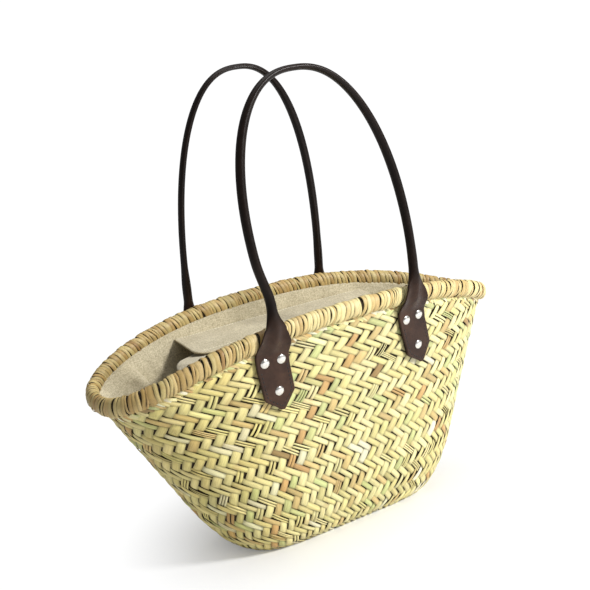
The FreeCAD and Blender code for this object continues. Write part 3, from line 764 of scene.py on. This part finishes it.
# ---------------------------------------------------------------- rim
def rim_curve(count):
    """Points, outward and upright directions round the rim, evenly spaced, and its length."""
    turns = np.linspace(-math.pi / 2, 1.5 * math.pi, 6001)
    z = np.full(turns.shape, RIM_HEIGHT)
    for _ in range(40):
        z = 0.5 * (z + rim_z(half_sizes(z)[0] * np.cos(turns)))
    path = section(turns, z)
    run = distance_along(path)
    points = resample(path, run, np.linspace(0.0, run[-1], count + 1)[:-1])
    along = unit(np.roll(points, -3, 0) - np.roll(points, 3, 0))
    upright = unit(UP - along * along[:, 2:3])
    return points, unit(np.cross(along, upright)), upright, run[-1]


RIM_POINTS, RIM_OUT, RIM_UP, RIM_LENGTH = rim_curve(RIM_COUNT)


def rim_at(run, angle, swell):
    """A point on the rim's oval section; angle 0 faces outward, a quarter turn is the top."""
    s = np.mod(run / RIM_LENGTH, 1.0) * RIM_COUNT
    i = np.floor(s).astype(int) % RIM_COUNT
    j = (i + 1) % RIM_COUNT
    f = (s - np.floor(s))[..., None]

    def mix(table):
        return table[i] * (1 - f) + table[j] * f

    out = mix(RIM_OUT) * ((RIM_HALF_WIDTH + swell) * np.cos(angle))[..., None]
    return mix(RIM_POINTS) + out + mix(RIM_UP) * ((RIM_HALF_HEIGHT + swell) * np.sin(angle))[..., None]


def wrap_turns():
    """Start and width of each turn of the whipping, stretched to close the ring."""
    run, spans = 0.0, []
    while run < RIM_LENGTH - 0.002:
        width = float(np.clip(RNG.normal(TURN_WIDTH, 0.0012), 0.0022, 0.0070))
        spans.append((run, width))
        run += width
    return np.array(spans) * (RIM_LENGTH / run)


def build_rim_wrap():
    """The whipping: one flat strip after another round the rim, each a little askew."""
    around, across = 28, 5
    g, c = np.meshgrid(full_turn(around), np.linspace(-0.5, 0.5, across), indexing="ij")
    verts, uvs, tints = [], [], []
    spans = wrap_turns()
    tone = pick_tints(WRAP_TINTS, (9, 8, 3, 1.0, 0.2), len(spans), 0.04)
    for index, (start, width) in enumerate(spans):
        fill = RNG.uniform(0.90, 1.03)
        slant = RNG.normal(0.0030, 0.0009)
        bulge = RNG.normal(0.0, 0.00025)
        wobble = RNG.uniform(0, 2 * math.pi, 2)
        place = start + width * (0.5 + c * fill) + slant * np.sin(g + 0.6)
        place = place + 0.0003 * np.sin(3 * g + wobble[0])
        crown = 0.0005 + 0.00045 * (1 - (2 * np.abs(c)) ** 3) + bulge + 0.0003 * np.sin(2 * g + wobble[1])
        points = rim_at(place, g, crown - WRAP_PLAY)
        verts.append(points)
        uvs.append(strand_uv(g * 0.008, c * width))
        # Painted shade: each turn is darker on the rim's inner side, at its edges where it meets the next
        # turn, and at the left end and the back, the sides away from the key light, where it is also browner.
        inner = 0.5 - 0.5 * np.cos(g)
        away = smooth_step((-points[..., 0] - 0.02) / 0.16) + smooth_step(points[..., 1] / 0.03)
        away = np.clip(away, 0, 1)
        shade = (1.0 - 0.12 * inner) * (1.0 - 0.30 * np.abs(2 * c) ** 5) * (1.0 - 0.22 * away)
        shade_and_browning = away[..., None] * np.array([0.04, 0.12, 0.24])
        tints.append(tone[index] * shade[..., None] * (1.0 - shade_and_browning))
    template = grid_faces(around + 1, across) % (around * across)
    wrap = patch_object("rim_whipping", verts, template, WRAP, uvs, tints)
    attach(wrap, "basket")
    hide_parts("rim_wrap", "rim_core")


def build_rim_bundle():
    """The straw bundle inside the whipping, seen only as dark lines between the turns, in the painted shade
    of the gaps.
    """
    turns, around = 420, 16
    run = np.linspace(0.0, RIM_LENGTH, turns + 1)[:-1]
    s, g = np.meshgrid(run, full_turn(around), indexing="ij")
    ripple = 0.0002 * np.sin(5 * g + 60 * s / RIM_LENGTH)
    quads = grid_faces(turns + 1, around, True) % (turns * around)
    bundle = mesh_object("rim_bundle", rim_at(s, g, ripple - BUNDLE_INSET), quads, SHADOW)
    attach(bundle, "basket")


def build_rim_ends():
    """Short slanted strand ends that show just below the whipping."""
    a, b = patch_grid(6, 3)
    verts, uvs, tints = [], [], []
    for index in range(STRAND_ENDS):
        share = (index + RNG.uniform(-0.3, 0.3)) / STRAND_ENDS
        probe = BODY.at(np.array([share]), np.array([len(BODY.z) - 20.0]))[0][0]
        drop = RNG.uniform(0.0095, 0.0125)
        length = RNG.uniform(0.010, 0.016)
        width = RNG.uniform(0.0020, 0.0038)
        angle = math.radians(RNG.normal(-28.0, 9.0))
        east = a * 0.5 * length * math.cos(angle) - b * width * math.sin(angle)
        north = a * 0.5 * length * math.sin(angle) + b * width * math.cos(angle)
        row = BODY.row_of_z(rim_z(probe[0]) - drop + north)
        off = 0.0002 + 0.0011 * (1 - a ** 2) - 0.0004 * (2 * b) ** 2
        points, normal = BODY.at(share + east / BODY.length[-20], row)
        verts.append(points + normal * press(points, off)[..., None])
        uvs.append(strand_uv(a * length, b * width))
        tint = pick_tints(STRAW_TINTS, (3, 6, 5, 3, 5, 2, 2), 1, 0.06)[0]
        tints.append(np.broadcast_to(tint * 0.92, (*a.shape, 3)))
    ends = patch_object("rim_strand_ends", verts, grid_faces(*a.shape), STRAW, uvs, tints)
    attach(ends, "basket")


# ---------------------------------------------------------------- tabs' place on the wall
def tab_yaw(side):
    """How far a tab turns to face out from the curved wall."""
    x = side * NECK_X
    reach = 0.67 * TAB_HALF_WIDTH
    low = rim_z(x) - 0.5 * TAB_LENGTH
    return math.atan(float(wall_y(x - reach, low) - wall_y(x + reach, low)) / (2.0 * reach))


def tab_slope(side):
    """Slope and offset of the straight line that rests on the wall under a tab."""
    x, rim = side * NECK_X, float(rim_z(side * NECK_X))

    def outward(height):
        return float(wall_y(x, rim + height) - wall_y(x, rim)) * math.cos(tab_yaw(side))

    high, low = WALL_BEND, NECK_RISE - TAB_LENGTH
    slope = (outward(high) - outward(low)) / (high - low)
    return slope, max(outward(h) - slope * h for h in (high, 0.5 * (high + low), low))


class Tab:
    """One tab's own axes: across it, straight out from the wall, and up."""

    def __init__(self, face, side):
        x = side * NECK_X
        yaw = tab_yaw(side)
        flip = np.array([1.0, 1.0 if face == "front" else -1.0, 1.0])
        self.base = np.array([x, -float(wall_y(x, rim_z(x))), float(rim_z(x))]) * flip
        self.across = np.array([math.cos(yaw), math.sin(yaw), 0.0]) * flip
        self.out = np.array([math.sin(yaw), -math.cos(yaw), 0.0]) * flip
        self.slope, self.offset = tab_slope(side)

    def place(self, across, out, up):
        across, out, up = np.broadcast_arrays(across, out, up)
        return self.base + across[..., None] * self.across + out[..., None] * self.out + up[..., None] * UP

    def on_wall(self, up, out):
        return self.slope * up + self.offset + out


def tab_lean(face, side, drop):
    """Sideways drift of the leather's middle line; the front tabs hang a little askew."""
    drop = np.asarray(drop, float)
    if (face, side) not in TAB_LEAN:
        return np.zeros(drop.shape)
    return blur(drop, LEAN_DROPS, TAB_LEAN[face, side], np.linspace(-0.009, 0.009, 13))


def tab_half_width(drop, face):
    """Half width of the leather by its drop below the neck's centre."""
    wide = ROLL_RADIUS + (TAB_HALF_WIDTH - ROLL_RADIUS) * smooth_step((drop + FLARE_RISE[face]) / 0.042)
    sides = np.interp(drop, [0.0, 0.028, CORNER_DROP], [1.0, 1.0, 17.0 / 18.0])
    point = np.interp(drop, [CORNER_DROP, TAB_LENGTH - TIP_ROUND, TAB_LENGTH], [0.017, 0.003, 0.0])
    tip = np.clip((TAB_LENGTH - drop) / TIP_ROUND, 0.0, 1.0)
    point = np.where(drop > TAB_LENGTH - TIP_ROUND, 0.003 * np.sqrt(1.0 - (1.0 - tip) ** 2), point)
    return np.where(drop > CORNER_DROP, point, wide * sides)


def tab_centre_out(tab, drop):
    """How far out the middle of the leather runs: over the rim, down to the wall and along it."""
    middle = 2.0 * TAB_GAP + LINER_LEATHER + 0.5 * TAB_LEATHER
    end = TAB_LENGTH + 0.001
    knots = np.array([0.0, 0.006, 0.0125, LINER_TOP_DROP, end])
    outs = np.array([NECK_STANDOFF, 0.0094, 0.0083, tab.on_wall(WALL_BEND, middle),
                     tab.on_wall(NECK_RISE - TAB_LENGTH - 0.001, middle)])
    fine = np.linspace(0.0, end, 400)
    line = np.interp(fine, knots, outs)
    window = np.hanning(33) / np.hanning(33).sum()
    padded = np.concatenate([np.full(16, line[0]), line, line[-1] + (line[-1] - line[-2]) * np.arange(1, 17)])
    return np.interp(drop, fine, np.convolve(padded, window, "valid"))


# ---------------------------------------------------------------- handles
def leather_section(drop, face):
    """Cross-section at a drop below the neck: a round roll that opens into a flat tab."""
    phi = full_turn(SECTION)
    half = float(tab_half_width(np.array(drop), face))
    open_share = float(smooth_step((drop + FLARE_RISE[face] - 0.002) / 0.036))
    groove = 0.0007 * np.exp(-((phi - 1.5 * math.pi) / 0.12) ** 2)
    a = half * np.cos(phi)
    round_n = ROLL_RADIUS * np.sin(phi) + groove
    edge = min(0.0008, max(half, 1e-5))
    over = np.clip((np.abs(a) - (half - edge)) / edge, 0.0, 1.0)
    n = 0.5 * TAB_LEATHER * np.sign(np.sin(phi)) * np.sqrt(1.0 - over ** 2)
    fade = 1.0 - smooth_step((drop + 0.006) / 0.038)
    ridge_width = 0.0052 + 0.05 * max(drop, 0.0)
    ridge = (1.3 * ROLL_RADIUS - 0.5 * TAB_LEATHER) * fade * np.exp(-(a / ridge_width) ** 2)
    curl = 0.0046 * (1.0 - smooth_step((drop - 0.004) / 0.024)) * (np.abs(a) / max(half, 1e-5)) ** 3
    n = n + np.where(np.sin(phi) > 0, ridge, 0.35 * ridge) + curl - 0.0010 * fade
    return a, round_n * (1 - open_share) + n * open_share


def arch_line(face, count):
    """The roll's centre line from the left neck to the right one, with its plane's normal and its length."""
    shape = ARCH[face]
    facing = 1.0 if face == "front" else -1.0
    left, right = (Tab(face, side).place(0.0, NECK_STANDOFF, NECK_RISE) for side in (-1, 1))
    along = unit(right - left)
    neck_half = 0.5 * np.linalg.norm(right - left)
    inward = np.array([-along[1], along[0], 0.0]) * facing
    lean = math.radians(shape["lean"])
    rise = np.array([0.0, 0.0, math.cos(lean)]) + inward * math.sin(lean)
    turn = np.linspace(0.0, math.pi, 4001)
    power = 2.0 / shape["fullness"]
    height = shape["rise"] * np.sin(turn).clip(0.0) ** power
    run = -np.sign(np.cos(turn)) * shape["half_width"] * np.abs(np.cos(turn)) ** power
    low = np.clip(1.0 - height / (shape["pinch"] * shape["rise"]), 0.0, None)
    run += np.sign(np.cos(turn)) * (shape["half_width"] - neck_half) * low ** 2
    run += shape["skew"] * height / shape["rise"]
    line = 0.5 * (left + right) + run[:, None] * along + height[:, None] * rise
    drift = tab_lean(face, -1, -height) * (run < 0) + tab_lean(face, 1, -height) * (run > 0)
    line = line + drift[:, None] * along
    dist = distance_along(line)
    points = resample(line, dist, np.linspace(0.0, dist[-1], count))
    return points, np.cross(along, rise) * facing, dist[-1]


def handle_line(face):
    """Middle line of the whole leather from tab point to tab point, with its drop and way along the arch."""
    drops = np.concatenate([np.linspace(0.0, 0.030, 31)[1:], np.linspace(0.030, CORNER_DROP, 18)[1:],
                            np.linspace(CORNER_DROP, TAB_LENGTH - TIP_ROUND, 9)[1:],
                            TAB_LENGTH - TIP_ROUND * np.array([0.75, 0.5, 0.28, 0.12, 0.03, 0.0])])
    arch, plane, length = arch_line(face, 281)
    left, right = (Tab(face, side) for side in (-1, 1))
    ends = [tab.place(tab_lean(face, side, drops), tab_centre_out(tab, drops), NECK_RISE - drops)
            for tab, side in ((left, -1), (right, 1))]
    line = np.concatenate([ends[0][::-1], arch, ends[1]])
    drop = np.concatenate([drops[::-1], np.zeros(len(arch)), drops])
    climb = np.concatenate([np.zeros(len(drops)), np.linspace(0.0, length, len(arch)),
                            np.full(len(drops), length)])
    is_left = (np.arange(len(line)) < 0.5 * len(line))[:, None]
    share = smooth_step(np.minimum(climb, length - climb) / 0.03)[:, None]
    facing = unit(np.where(is_left, left.out, right.out) * (1 - share) + plane * share)
    return line, facing, drop, climb, length


def build_handle(face):
    """Roll, funnels and tabs of one handle in one piece of leather, and the cord inside the roll."""
    line, facing, drop, climb, length = handle_line(face)
    from_neck = np.minimum(climb, length - climb)
    along = unit(np.gradient(line, axis=0))
    across = unit(np.cross(facing, along))
    normal = unit(np.cross(along, across))
    a, n = (np.array(part) for part in zip(*(leather_section(d if d > 0 else -near, face)
                                             for d, near in zip(drop, from_neck))))
    thin = blur(climb / length, *ROLL_FLATNESS[face], np.linspace(-0.05, 0.05, 11))
    thin = 1.0 - (1.0 - thin) * smooth_step((from_neck - 0.018) / 0.03)
    a = a * thin[:, None]
    points = line[:, None] + a[..., None] * across[:, None] + n[..., None] * normal[:, None]
    uv = np.stack(np.broadcast_arrays(distance_along(line)[:, None], a), -1)
    below = np.where(drop > 0, drop, -from_neck)
    # Painted sheen: the leather is painted lighter from the roll down onto the tabs, standing in for the
    # sheen on their flat faces.
    tone = ROLL_TONE_UNDER_TAB_SHEEN + (1.0 - ROLL_TONE_UNDER_TAB_SHEEN) * smooth_step((below + 0.020) / 0.040)
    tint = np.repeat(tone, SECTION)[:, None] * np.ones(3)
    faces = grid_faces(len(line), SECTION, True)[:, ::-1]
    leather = mesh_object("handle_leather_" + face, points, faces, LEATHER, uv, tint)
    on_arch = np.flatnonzero(drop == 0)
    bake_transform(leather)
    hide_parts("handle_roll_" + face, "tab_%s_left" % face, "tab_%s_right" % face)
    inside = on_arch[8:-8]
    turn = full_turn(CORE_SIDES)
    ring = np.cos(turn)[:, None] * across[inside, None] + np.sin(turn)[:, None] * normal[inside, None]
    core = line[inside, None] + CORE_RADIUS * ring
    cord = mesh_object("handle_cord_" + face, core, grid_faces(len(core), CORE_SIDES, True), CORD)
    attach(cord, "handle_" + face)
    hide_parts("handle_core_" + face)


def on_leather(face, side, across, drop, off):
    """A point off the middle of the leather, with the directions across it and out of it."""
    tab = Tab(face, side)
    facing = 1.0 if face == "front" else -1.0
    drops = drop + np.array([-0.001, 0.0, 0.001])
    line = tab.place(tab_lean(face, side, drops), tab_centre_out(tab, drops), NECK_RISE - drops)
    along = unit(line[0] - line[2])
    side_way = unit(np.cross(tab.out, along)) * facing
    normal = unit(np.cross(along, side_way))
    normal = normal * np.sign(normal @ tab.out)
    return line[1] + side_way * across + normal * off, side_way, normal


def build_rivets(face, word, side):
    """Three domed nickel rivets: cap outside, post, and a small plate on the inner side."""
    top = 0.5 * TAB_LEATHER
    plate = top + RIVET_REACH
    profile = [(r, top + h) for r, h in RIVET_CAP] + [(RIVET_POST, -plate)]
    profile += [(r, -plate - h) for r, h in RIVET_PLATE]
    turn = full_turn(RIVET_SIDES)
    verts = []
    for across, drop in RIVETS:
        centre, side_way, normal = on_leather(face, side, across, drop, 0.0)
        ring = np.cos(turn)[:, None] * side_way + np.sin(turn)[:, None] * np.cross(normal, side_way)
        verts.append([centre + normal * h + r * ring for r, h in profile])
    template = grid_faces(len(profile), RIVET_SIDES, True)[:, ::-1]
    rivets = patch_object("rivets_%s_%s" % (face, word), verts, template, NICKEL)
    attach(rivets, "basket")
    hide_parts(*("rivet_%s_%s_%s" % (kind, face, word) for kind in ("caps", "posts", "backs")))


def build_tab_liner(face, word, side):
    """The under-leather, half a millimetre inside the tab's outline."""
    drops = np.concatenate([np.linspace(LINER_TOP_DROP, CORNER_DROP, 24),
                            np.linspace(CORNER_DROP, TAB_LENGTH - 0.001, 8)[1:]])
    below = -0.5 * TAB_LEATHER - TAB_GAP - 0.5 * LINER_LEATHER
    rows = []
    for drop in drops:
        half = max(float(tab_half_width(np.array(drop + 0.0003), face)) - 0.0005, 0.0004)
        rows.append([on_leather(face, side, a * half, drop, below)[0] for a in np.linspace(-1.0, 1.0, 9)])
    liner = cloth_object("tab_underlay_%s_%s" % (face, word), np.array(rows), LEATHER_EDGE, LINER_LEATHER)
    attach(liner, "basket")
    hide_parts("tab_liner_%s_%s" % (face, word))


def capsule(length, radius, flat, around=8, rings=7):
    """A small rounded bar along x, squashed in z: one stitch."""
    along = np.linspace(-1.0, 1.0, rings)
    girth = radius * np.sqrt(np.clip(1.0 - np.abs(along) ** 3, 0.0, 1.0))[:, None]
    angle = full_turn(around)
    x = np.broadcast_to(0.5 * length * along[:, None], (rings, around))
    return np.stack([x, girth * np.cos(angle), flat * girth * np.sin(angle)], -1).reshape(-1, 3), \
        grid_faces(rings, around, True)


def stitch_mesh(name, places, length, radius, material, flat):
    """Stitches at places, each given by its centre, its way along the seam and the surface's normal."""
    verts, faces = capsule(length, radius, flat)
    every, quads = [], []
    for index, (centre, way, normal) in enumerate(places):
        way, normal = unit(way), unit(normal)
        side = np.cross(normal, way)
        every.append(centre + verts[:, :1] * way + verts[:, 1:2] * side + verts[:, 2:] * normal)
        quads.append(faces + index * len(verts))
    return mesh_object(name, every, np.concatenate(quads), material)


def build_tab_stitches(face, word, side):
    """The waxed seam round each tab's sides and point."""
    half = TAB_HALF_WIDTH - STITCH_INSET
    corners = [(half, STITCH_TOP_DROP), (half - 0.0009, CORNER_DROP - 0.0014),
               (0.0012, TAB_LENGTH - 1.15 * STITCH_INSET)]
    corners = corners + [(-x, d) for x, d in reversed(corners)]
    places = []
    for (x0, d0), (x1, d1) in zip(corners, corners[1:]):
        count = max(int(round(math.hypot(x1 - x0, d1 - d0) / STITCH_PITCH)), 1)
        for i in range(count):
            here, ahead = (on_leather(face, side, x0 + (x1 - x0) * t, d0 + (d1 - d0) * t, 0.5 * TAB_LEATHER)
                           for t in ((i + 0.5) / count, (i + 0.6) / count))
            places.append((here[0], ahead[0] - here[0], here[2]))
    name = "tab_stitches_%s_%s" % (face, word)
    thread = stitch_mesh(name, places, STITCH_LENGTH, STITCH_RADIUS, THREAD, 0.50)
    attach(thread, "basket")
    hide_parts("tab_thread_%s_%s" % (face, word))


# ---------------------------------------------------------------- canvas
def cloth_object(name, top, material, thickness):
    """A closed thin sheet from a grid of points: two layers, joined round their edge."""
    rows, cols = top.shape[:2]
    normal = unit(np.cross(np.gradient(top, axis=1), np.gradient(top, axis=0)))
    thick = np.broadcast_to(np.asarray(thickness, float), (rows, cols))[..., None]
    upper, lower = top + 0.5 * thick * normal, top - 0.5 * thick * normal
    front = grid_faces(rows, cols)
    count = rows * cols
    index = np.arange(count).reshape(rows, cols)
    edge = np.concatenate([index[0, :-1], index[:-1, -1], index[-1, :0:-1], index[:0:-1, 0]])
    after = np.roll(edge, -1)
    rim = np.stack([after, edge, edge + count, after + count], -1)
    faces = np.concatenate([front, front[:, ::-1] + count, rim])
    steps_u, steps_v = (np.linalg.norm(np.diff(top, axis=way), axis=2) for way in (1, 0))
    run_u = np.concatenate([np.zeros((rows, 1)), np.cumsum(steps_u, 1)], 1)
    run_u -= run_u.mean(1, keepdims=True)
    run_v = np.concatenate([np.zeros((1, cols)), np.cumsum(steps_v, 0)], 0)
    uv = np.stack([run_u, run_v], -1)
    return mesh_object(name, [upper, lower], faces, material, [uv, uv])


def lining_row(sign, level, count):
    """One row of the lining at a share of its height, from seam to seam, evenly spaced."""
    turns = np.linspace(math.pi, 0.0, 801)
    z = np.full(turns.shape, 0.1)
    for _ in range(40):
        x = half_sizes(z, LINING_DEPTH)[0] * np.cos(turns)
        z = 0.5 * (z + LINING_FLOOR + level * (rim_z(x) - LINING_TOP_DROP - LINING_FLOOR))
    depth = LINING_DEPTH - 0.0021 * smooth_step((level - 0.93) / 0.07)
    x = half_sizes(z, depth)[0] * np.cos(turns)
    path = np.stack([x, sign * wall_y(x, z, depth), z], -1)
    run = distance_along(path[:, :2])
    return resample(path, run, np.linspace(0.0, run[-1], count))


def lining_folds(face, u, v):
    """How far the lining stands in from the wall: loose waves, one deep fold and its crease, ripples."""
    loose = np.sin(math.pi * u) ** 0.5 * (1.0 - v) ** 0.8 * np.clip(v / 0.08, 0, 1)
    phase = 0.7 if face == "front" else 2.1
    soft = 0.0016 * (1 + np.sin(2 * math.pi * 5.2 * u + 1.7 * v + phase))
    soft = soft + 0.0008 * (1 + np.sin(2 * math.pi * 13 * u + 3 * v))
    fold_at = 0.165 + 0.05 * (1 - v) if face == "back" else 0.80
    steep = np.where(u > fold_at, 0.007, 0.026)
    fold = 0.0110 * np.exp(-((u - fold_at) / steep) ** 2) * smooth_step((0.99 - v) / 0.10)
    crease = 0.0040 * np.exp(-((u - fold_at - 0.062) / 0.014) ** 2) * smooth_step((0.92 - v) / 0.20)
    ripple = 0.0005 * (1 + np.sin(2 * math.pi * 31 * u + 2.0 * np.sin(9 * v))) * smooth_step((1.0 - v) / 0.10)
    return soft * loose + (fold + crease) * np.clip(v / 0.1, 0, 1) + ripple * 0.6


def lining_grid(face, rows, cols):
    """The lining of one face from side seam to side seam, floor to rim, with its soft folds."""
    sign = -1.0 if face == "front" else 1.0
    grid = np.array([lining_row(sign, level, cols) for level in np.linspace(0.0, 1.0, rows)])
    push = lining_folds(face, np.linspace(0.0, 1.0, cols)[None], np.linspace(0.0, 1.0, rows)[:, None])
    middle = unit(np.cross(np.gradient(grid, axis=1), np.gradient(grid, axis=0)))
    middle = middle * np.sign(-sign * middle[..., 1:2] + 1e-9)
    return grid + middle * push[..., None]


def build_lining():
    """Both side panels and the floor of the lining."""
    for face in ("front", "back"):
        panel = cloth_object("canvas_lining_" + face, lining_grid(face, 72, 260), CANVAS, CLOTH)
        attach(panel, "basket")
        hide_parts("lining_" + face)
    ring = np.concatenate([lining_grid("front", 2, 121)[0], lining_grid("back", 2, 121)[0][-2:0:-1]])
    centre = ring.mean(0)
    grid = np.array([centre + (ring - centre) * share for share in np.linspace(1.0, 0.02, 24)])
    swell = 0.0006 * np.sin(grid[..., 0] / 0.017) * np.sin(grid[..., 1] / 0.011)
    grid[..., 2] = LINING_FLOOR + 0.0006 + swell * np.linspace(0, 1, 24)[:, None]
    closed = np.concatenate([grid, grid[:, :1]], 1)
    floor = cloth_object("canvas_lining_base", closed, CANVAS, CLOTH)
    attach(floor, "basket")
    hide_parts("lining_base")


def flap_wave(points):
    """One gentle rise and fall for both flaps, so that the upper one keeps off the lower one."""
    x, y = points[..., 0], points[..., 1]
    hold = 1.0 - np.clip(np.abs(y) / 0.066, 0.0, 1.0) ** 3
    wave = 0.0011 * np.sin(x / 0.027 + 0.6) * np.cos(y / 0.050) + 0.0005 * np.sin(x / 0.0115 + y / 0.016)
    return wave * hold


def flap_span(size, length, out):
    """Where a flap starts and stops along its hinge line, at a distance out from it."""
    if "corner" in size:
        radius = size["corner"]
        over = max(out - (size["reach"] - radius), 0.0)
        start = radius - math.sqrt(max(radius ** 2 - over ** 2, 0.0))
        return start, length - start
    curve = (out / size["reach"]) ** FLAP_CURVE
    return size["tip_left"] * curve, length - size["tip_right"] * curve


def flap_grid(face):
    """A flap from the lining through its hinge line to the free edge, with its hem, inward way and hinge."""
    size = FLAPS[face]
    sign = 1.0 if face == "back" else -1.0
    z, reach, sag = size["seam"], size["reach"], size["sag"]
    a, b = (np.array([x, sign * float(wall_y(x, z, FLAP_DEPTH)), z]) for x in (size["left"], size["right"]))
    along = unit(b - a)
    inward = np.array([along[1], -along[0], 0.0]) * sign
    length = float(np.linalg.norm(b - a))
    u = np.linspace(0.0, 1.0, 150)
    hinge = a + np.outer(u * length, along)
    lining_y = sign * wall_y(hinge[:, 0], z, LINING_DEPTH + 0.0003)
    at_wall = np.stack([hinge[:, 0], lining_y, np.full(len(u), z)], -1)
    rows = [at_wall * (1 - s) + hinge * s for s in (0.0, 0.25, 0.5, 0.75)]
    rows[0][:, 2] -= 0.0012
    margin = reach - FLAP_MARGIN
    outs = np.concatenate([np.linspace(0.0, margin, 26), np.linspace(margin, reach, 12)[1:]])
    for out in outs:
        start, stop = flap_span(size, length, out)
        sink = sag * out / reach
        level = math.sqrt(max(out * out - sink * sink, 0.0))
        rows.append(a + np.outer(start + (stop - start) * u, along) + inward * level - UP * sink)
    grid = np.array(rows)
    grid[4:, :, 2] += flap_wave(grid[4:])
    from_end = np.minimum(u, 1 - u)[None] * length
    from_edge = np.minimum(from_end, (reach - np.concatenate([np.zeros(4), outs]))[:, None])
    hem = 0.0008 * (1.0 - smooth_step((from_edge - HEM_WIDTH) / 0.0012))
    return grid, hem, inward, hinge


def build_flap(face):
    """One closing flap, sewn to the lining along its hinge line."""
    grid, hem, inward, hinge = flap_grid(face)
    if face == "front":
        grid, hem = grid[:, ::-1], hem[:, ::-1]
    flap = cloth_object("canvas_flap_" + face, grid[::-1], CANVAS, (CLOTH + hem)[::-1])
    middle = hinge.mean(0)
    start, end = middle - inward * 0.008, middle + inward * 0.010
    tuple(start)
    tuple(end)
    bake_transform(flap)
    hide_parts("closing_flap_" + face, "seam_band_" + face)
    seam_stitches(face, grid, start, end)


def seam_stitches(face, grid, start, end):
    """Pale stitches along the seam, and along the hem of the free edge."""
    ups = unit(np.cross(np.gradient(grid, axis=1), np.gradient(grid, axis=0)))
    ups = ups * np.sign(ups[..., 2:])
    places = []
    for line, up, lift in ((grid[2], ups[2], 0.0006), (grid[-8, 5:-5], ups[-8, 5:-5], 0.0010)):
        run = distance_along(line)
        count = int(run[-1] / SEAM_PITCH)
        at = (np.arange(count) + 0.5) / count * run[-1]
        for p, q, m in zip(resample(line, run, at), resample(line, run, at + 0.001), resample(up, run, at)):
            if np.linalg.norm(q - p) > 1e-5:
                places.append((p + m * lift, q - p, m))
    thread = stitch_mesh("flap_stitches_" + face, places, SEAM_LENGTH, SEAM_RADIUS, CREAM_THREAD, 0.7)
    tuple(start)
    tuple(end)
    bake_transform(thread)


# ---------------------------------------------------------------- floor and light
def build_stage():
    """The floor, a soft sky that the camera sees as plain white, and two lamps."""
    size = FLOOR_HALF_SIZE
    corners = [(-size, -size, 0), (size, -size, 0), (size, size, 0), (-size, size, 0)]
    mesh_object("studio_floor", corners, [(0, 1, 2, 3)], FLOOR, smooth=False)
    world = bpy.data.worlds.new("studio")
    world.use_nodes = True
    tree = world.node_tree
    n = Nodes(tree)
    lit = tree.nodes["Background"]
    n.set(lit, Color=SKY_COLOUR, Strength=SKY_LIGHT)
    seen = n.add("ShaderNodeBackground")
    n.set(seen, Color=(*WHITE, 1.0), Strength=BACKDROP_WHITE)
    choose = n.add("ShaderNodeMixShader")
    n.wire(n.add("ShaderNodeLightPath").outputs["Is Camera Ray"], choose.inputs[0])
    n.wire(lit.outputs[0], choose.inputs[1])
    n.wire(seen.outputs[0], choose.inputs[2])
    n.wire(choose.outputs[0], tree.nodes["World Output"].inputs[0])
    bpy.context.scene.world = world
    for name, place, size, power in LIGHTS:
        data = bpy.data.lights.new(name, "AREA")
        data.size = size
        data.energy = power
        lamp = link(bpy.data.objects.new(name, data))
        lamp.location = place
        lamp.rotation_euler = (Vector(LIGHT_AIM) - Vector(place)).to_track_quat("-Z", "Y").to_euler()
    bpy.context.scene.view_settings.view_transform = "Standard"


build_camera()
build_weave()
build_backing()
build_base_weave()
build_rim_wrap()
build_rim_bundle()
build_rim_ends()
for side_face in ("front", "back"):
    build_handle(side_face)
    for side_word, side_sign in (("left", -1), ("right", 1)):
        build_tab_stitches(side_face, side_word, side_sign)
        build_tab_liner(side_face, side_word, side_sign)
        build_rivets(side_face, side_word, side_sign)
build_lining()
build_flap("back")
build_flap("front")
build_stage()

# The CAD nodes, by the starts of their names, get the material of what they are made of.
NODE_LOOKS = ((("lining", "seam_band", "closing"), CANVAS), (("handle_core",), CORD),
              (("tab_thread",), THREAD), (("rivet",), NICKEL), (("tab", "handle"), LEATHER_EDGE))
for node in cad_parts.values():
    material = next((look for starts, look in NODE_LOOKS if node.name.startswith(starts)), None)
    for slot in node.material_slots if material else ():
        slot.material = material
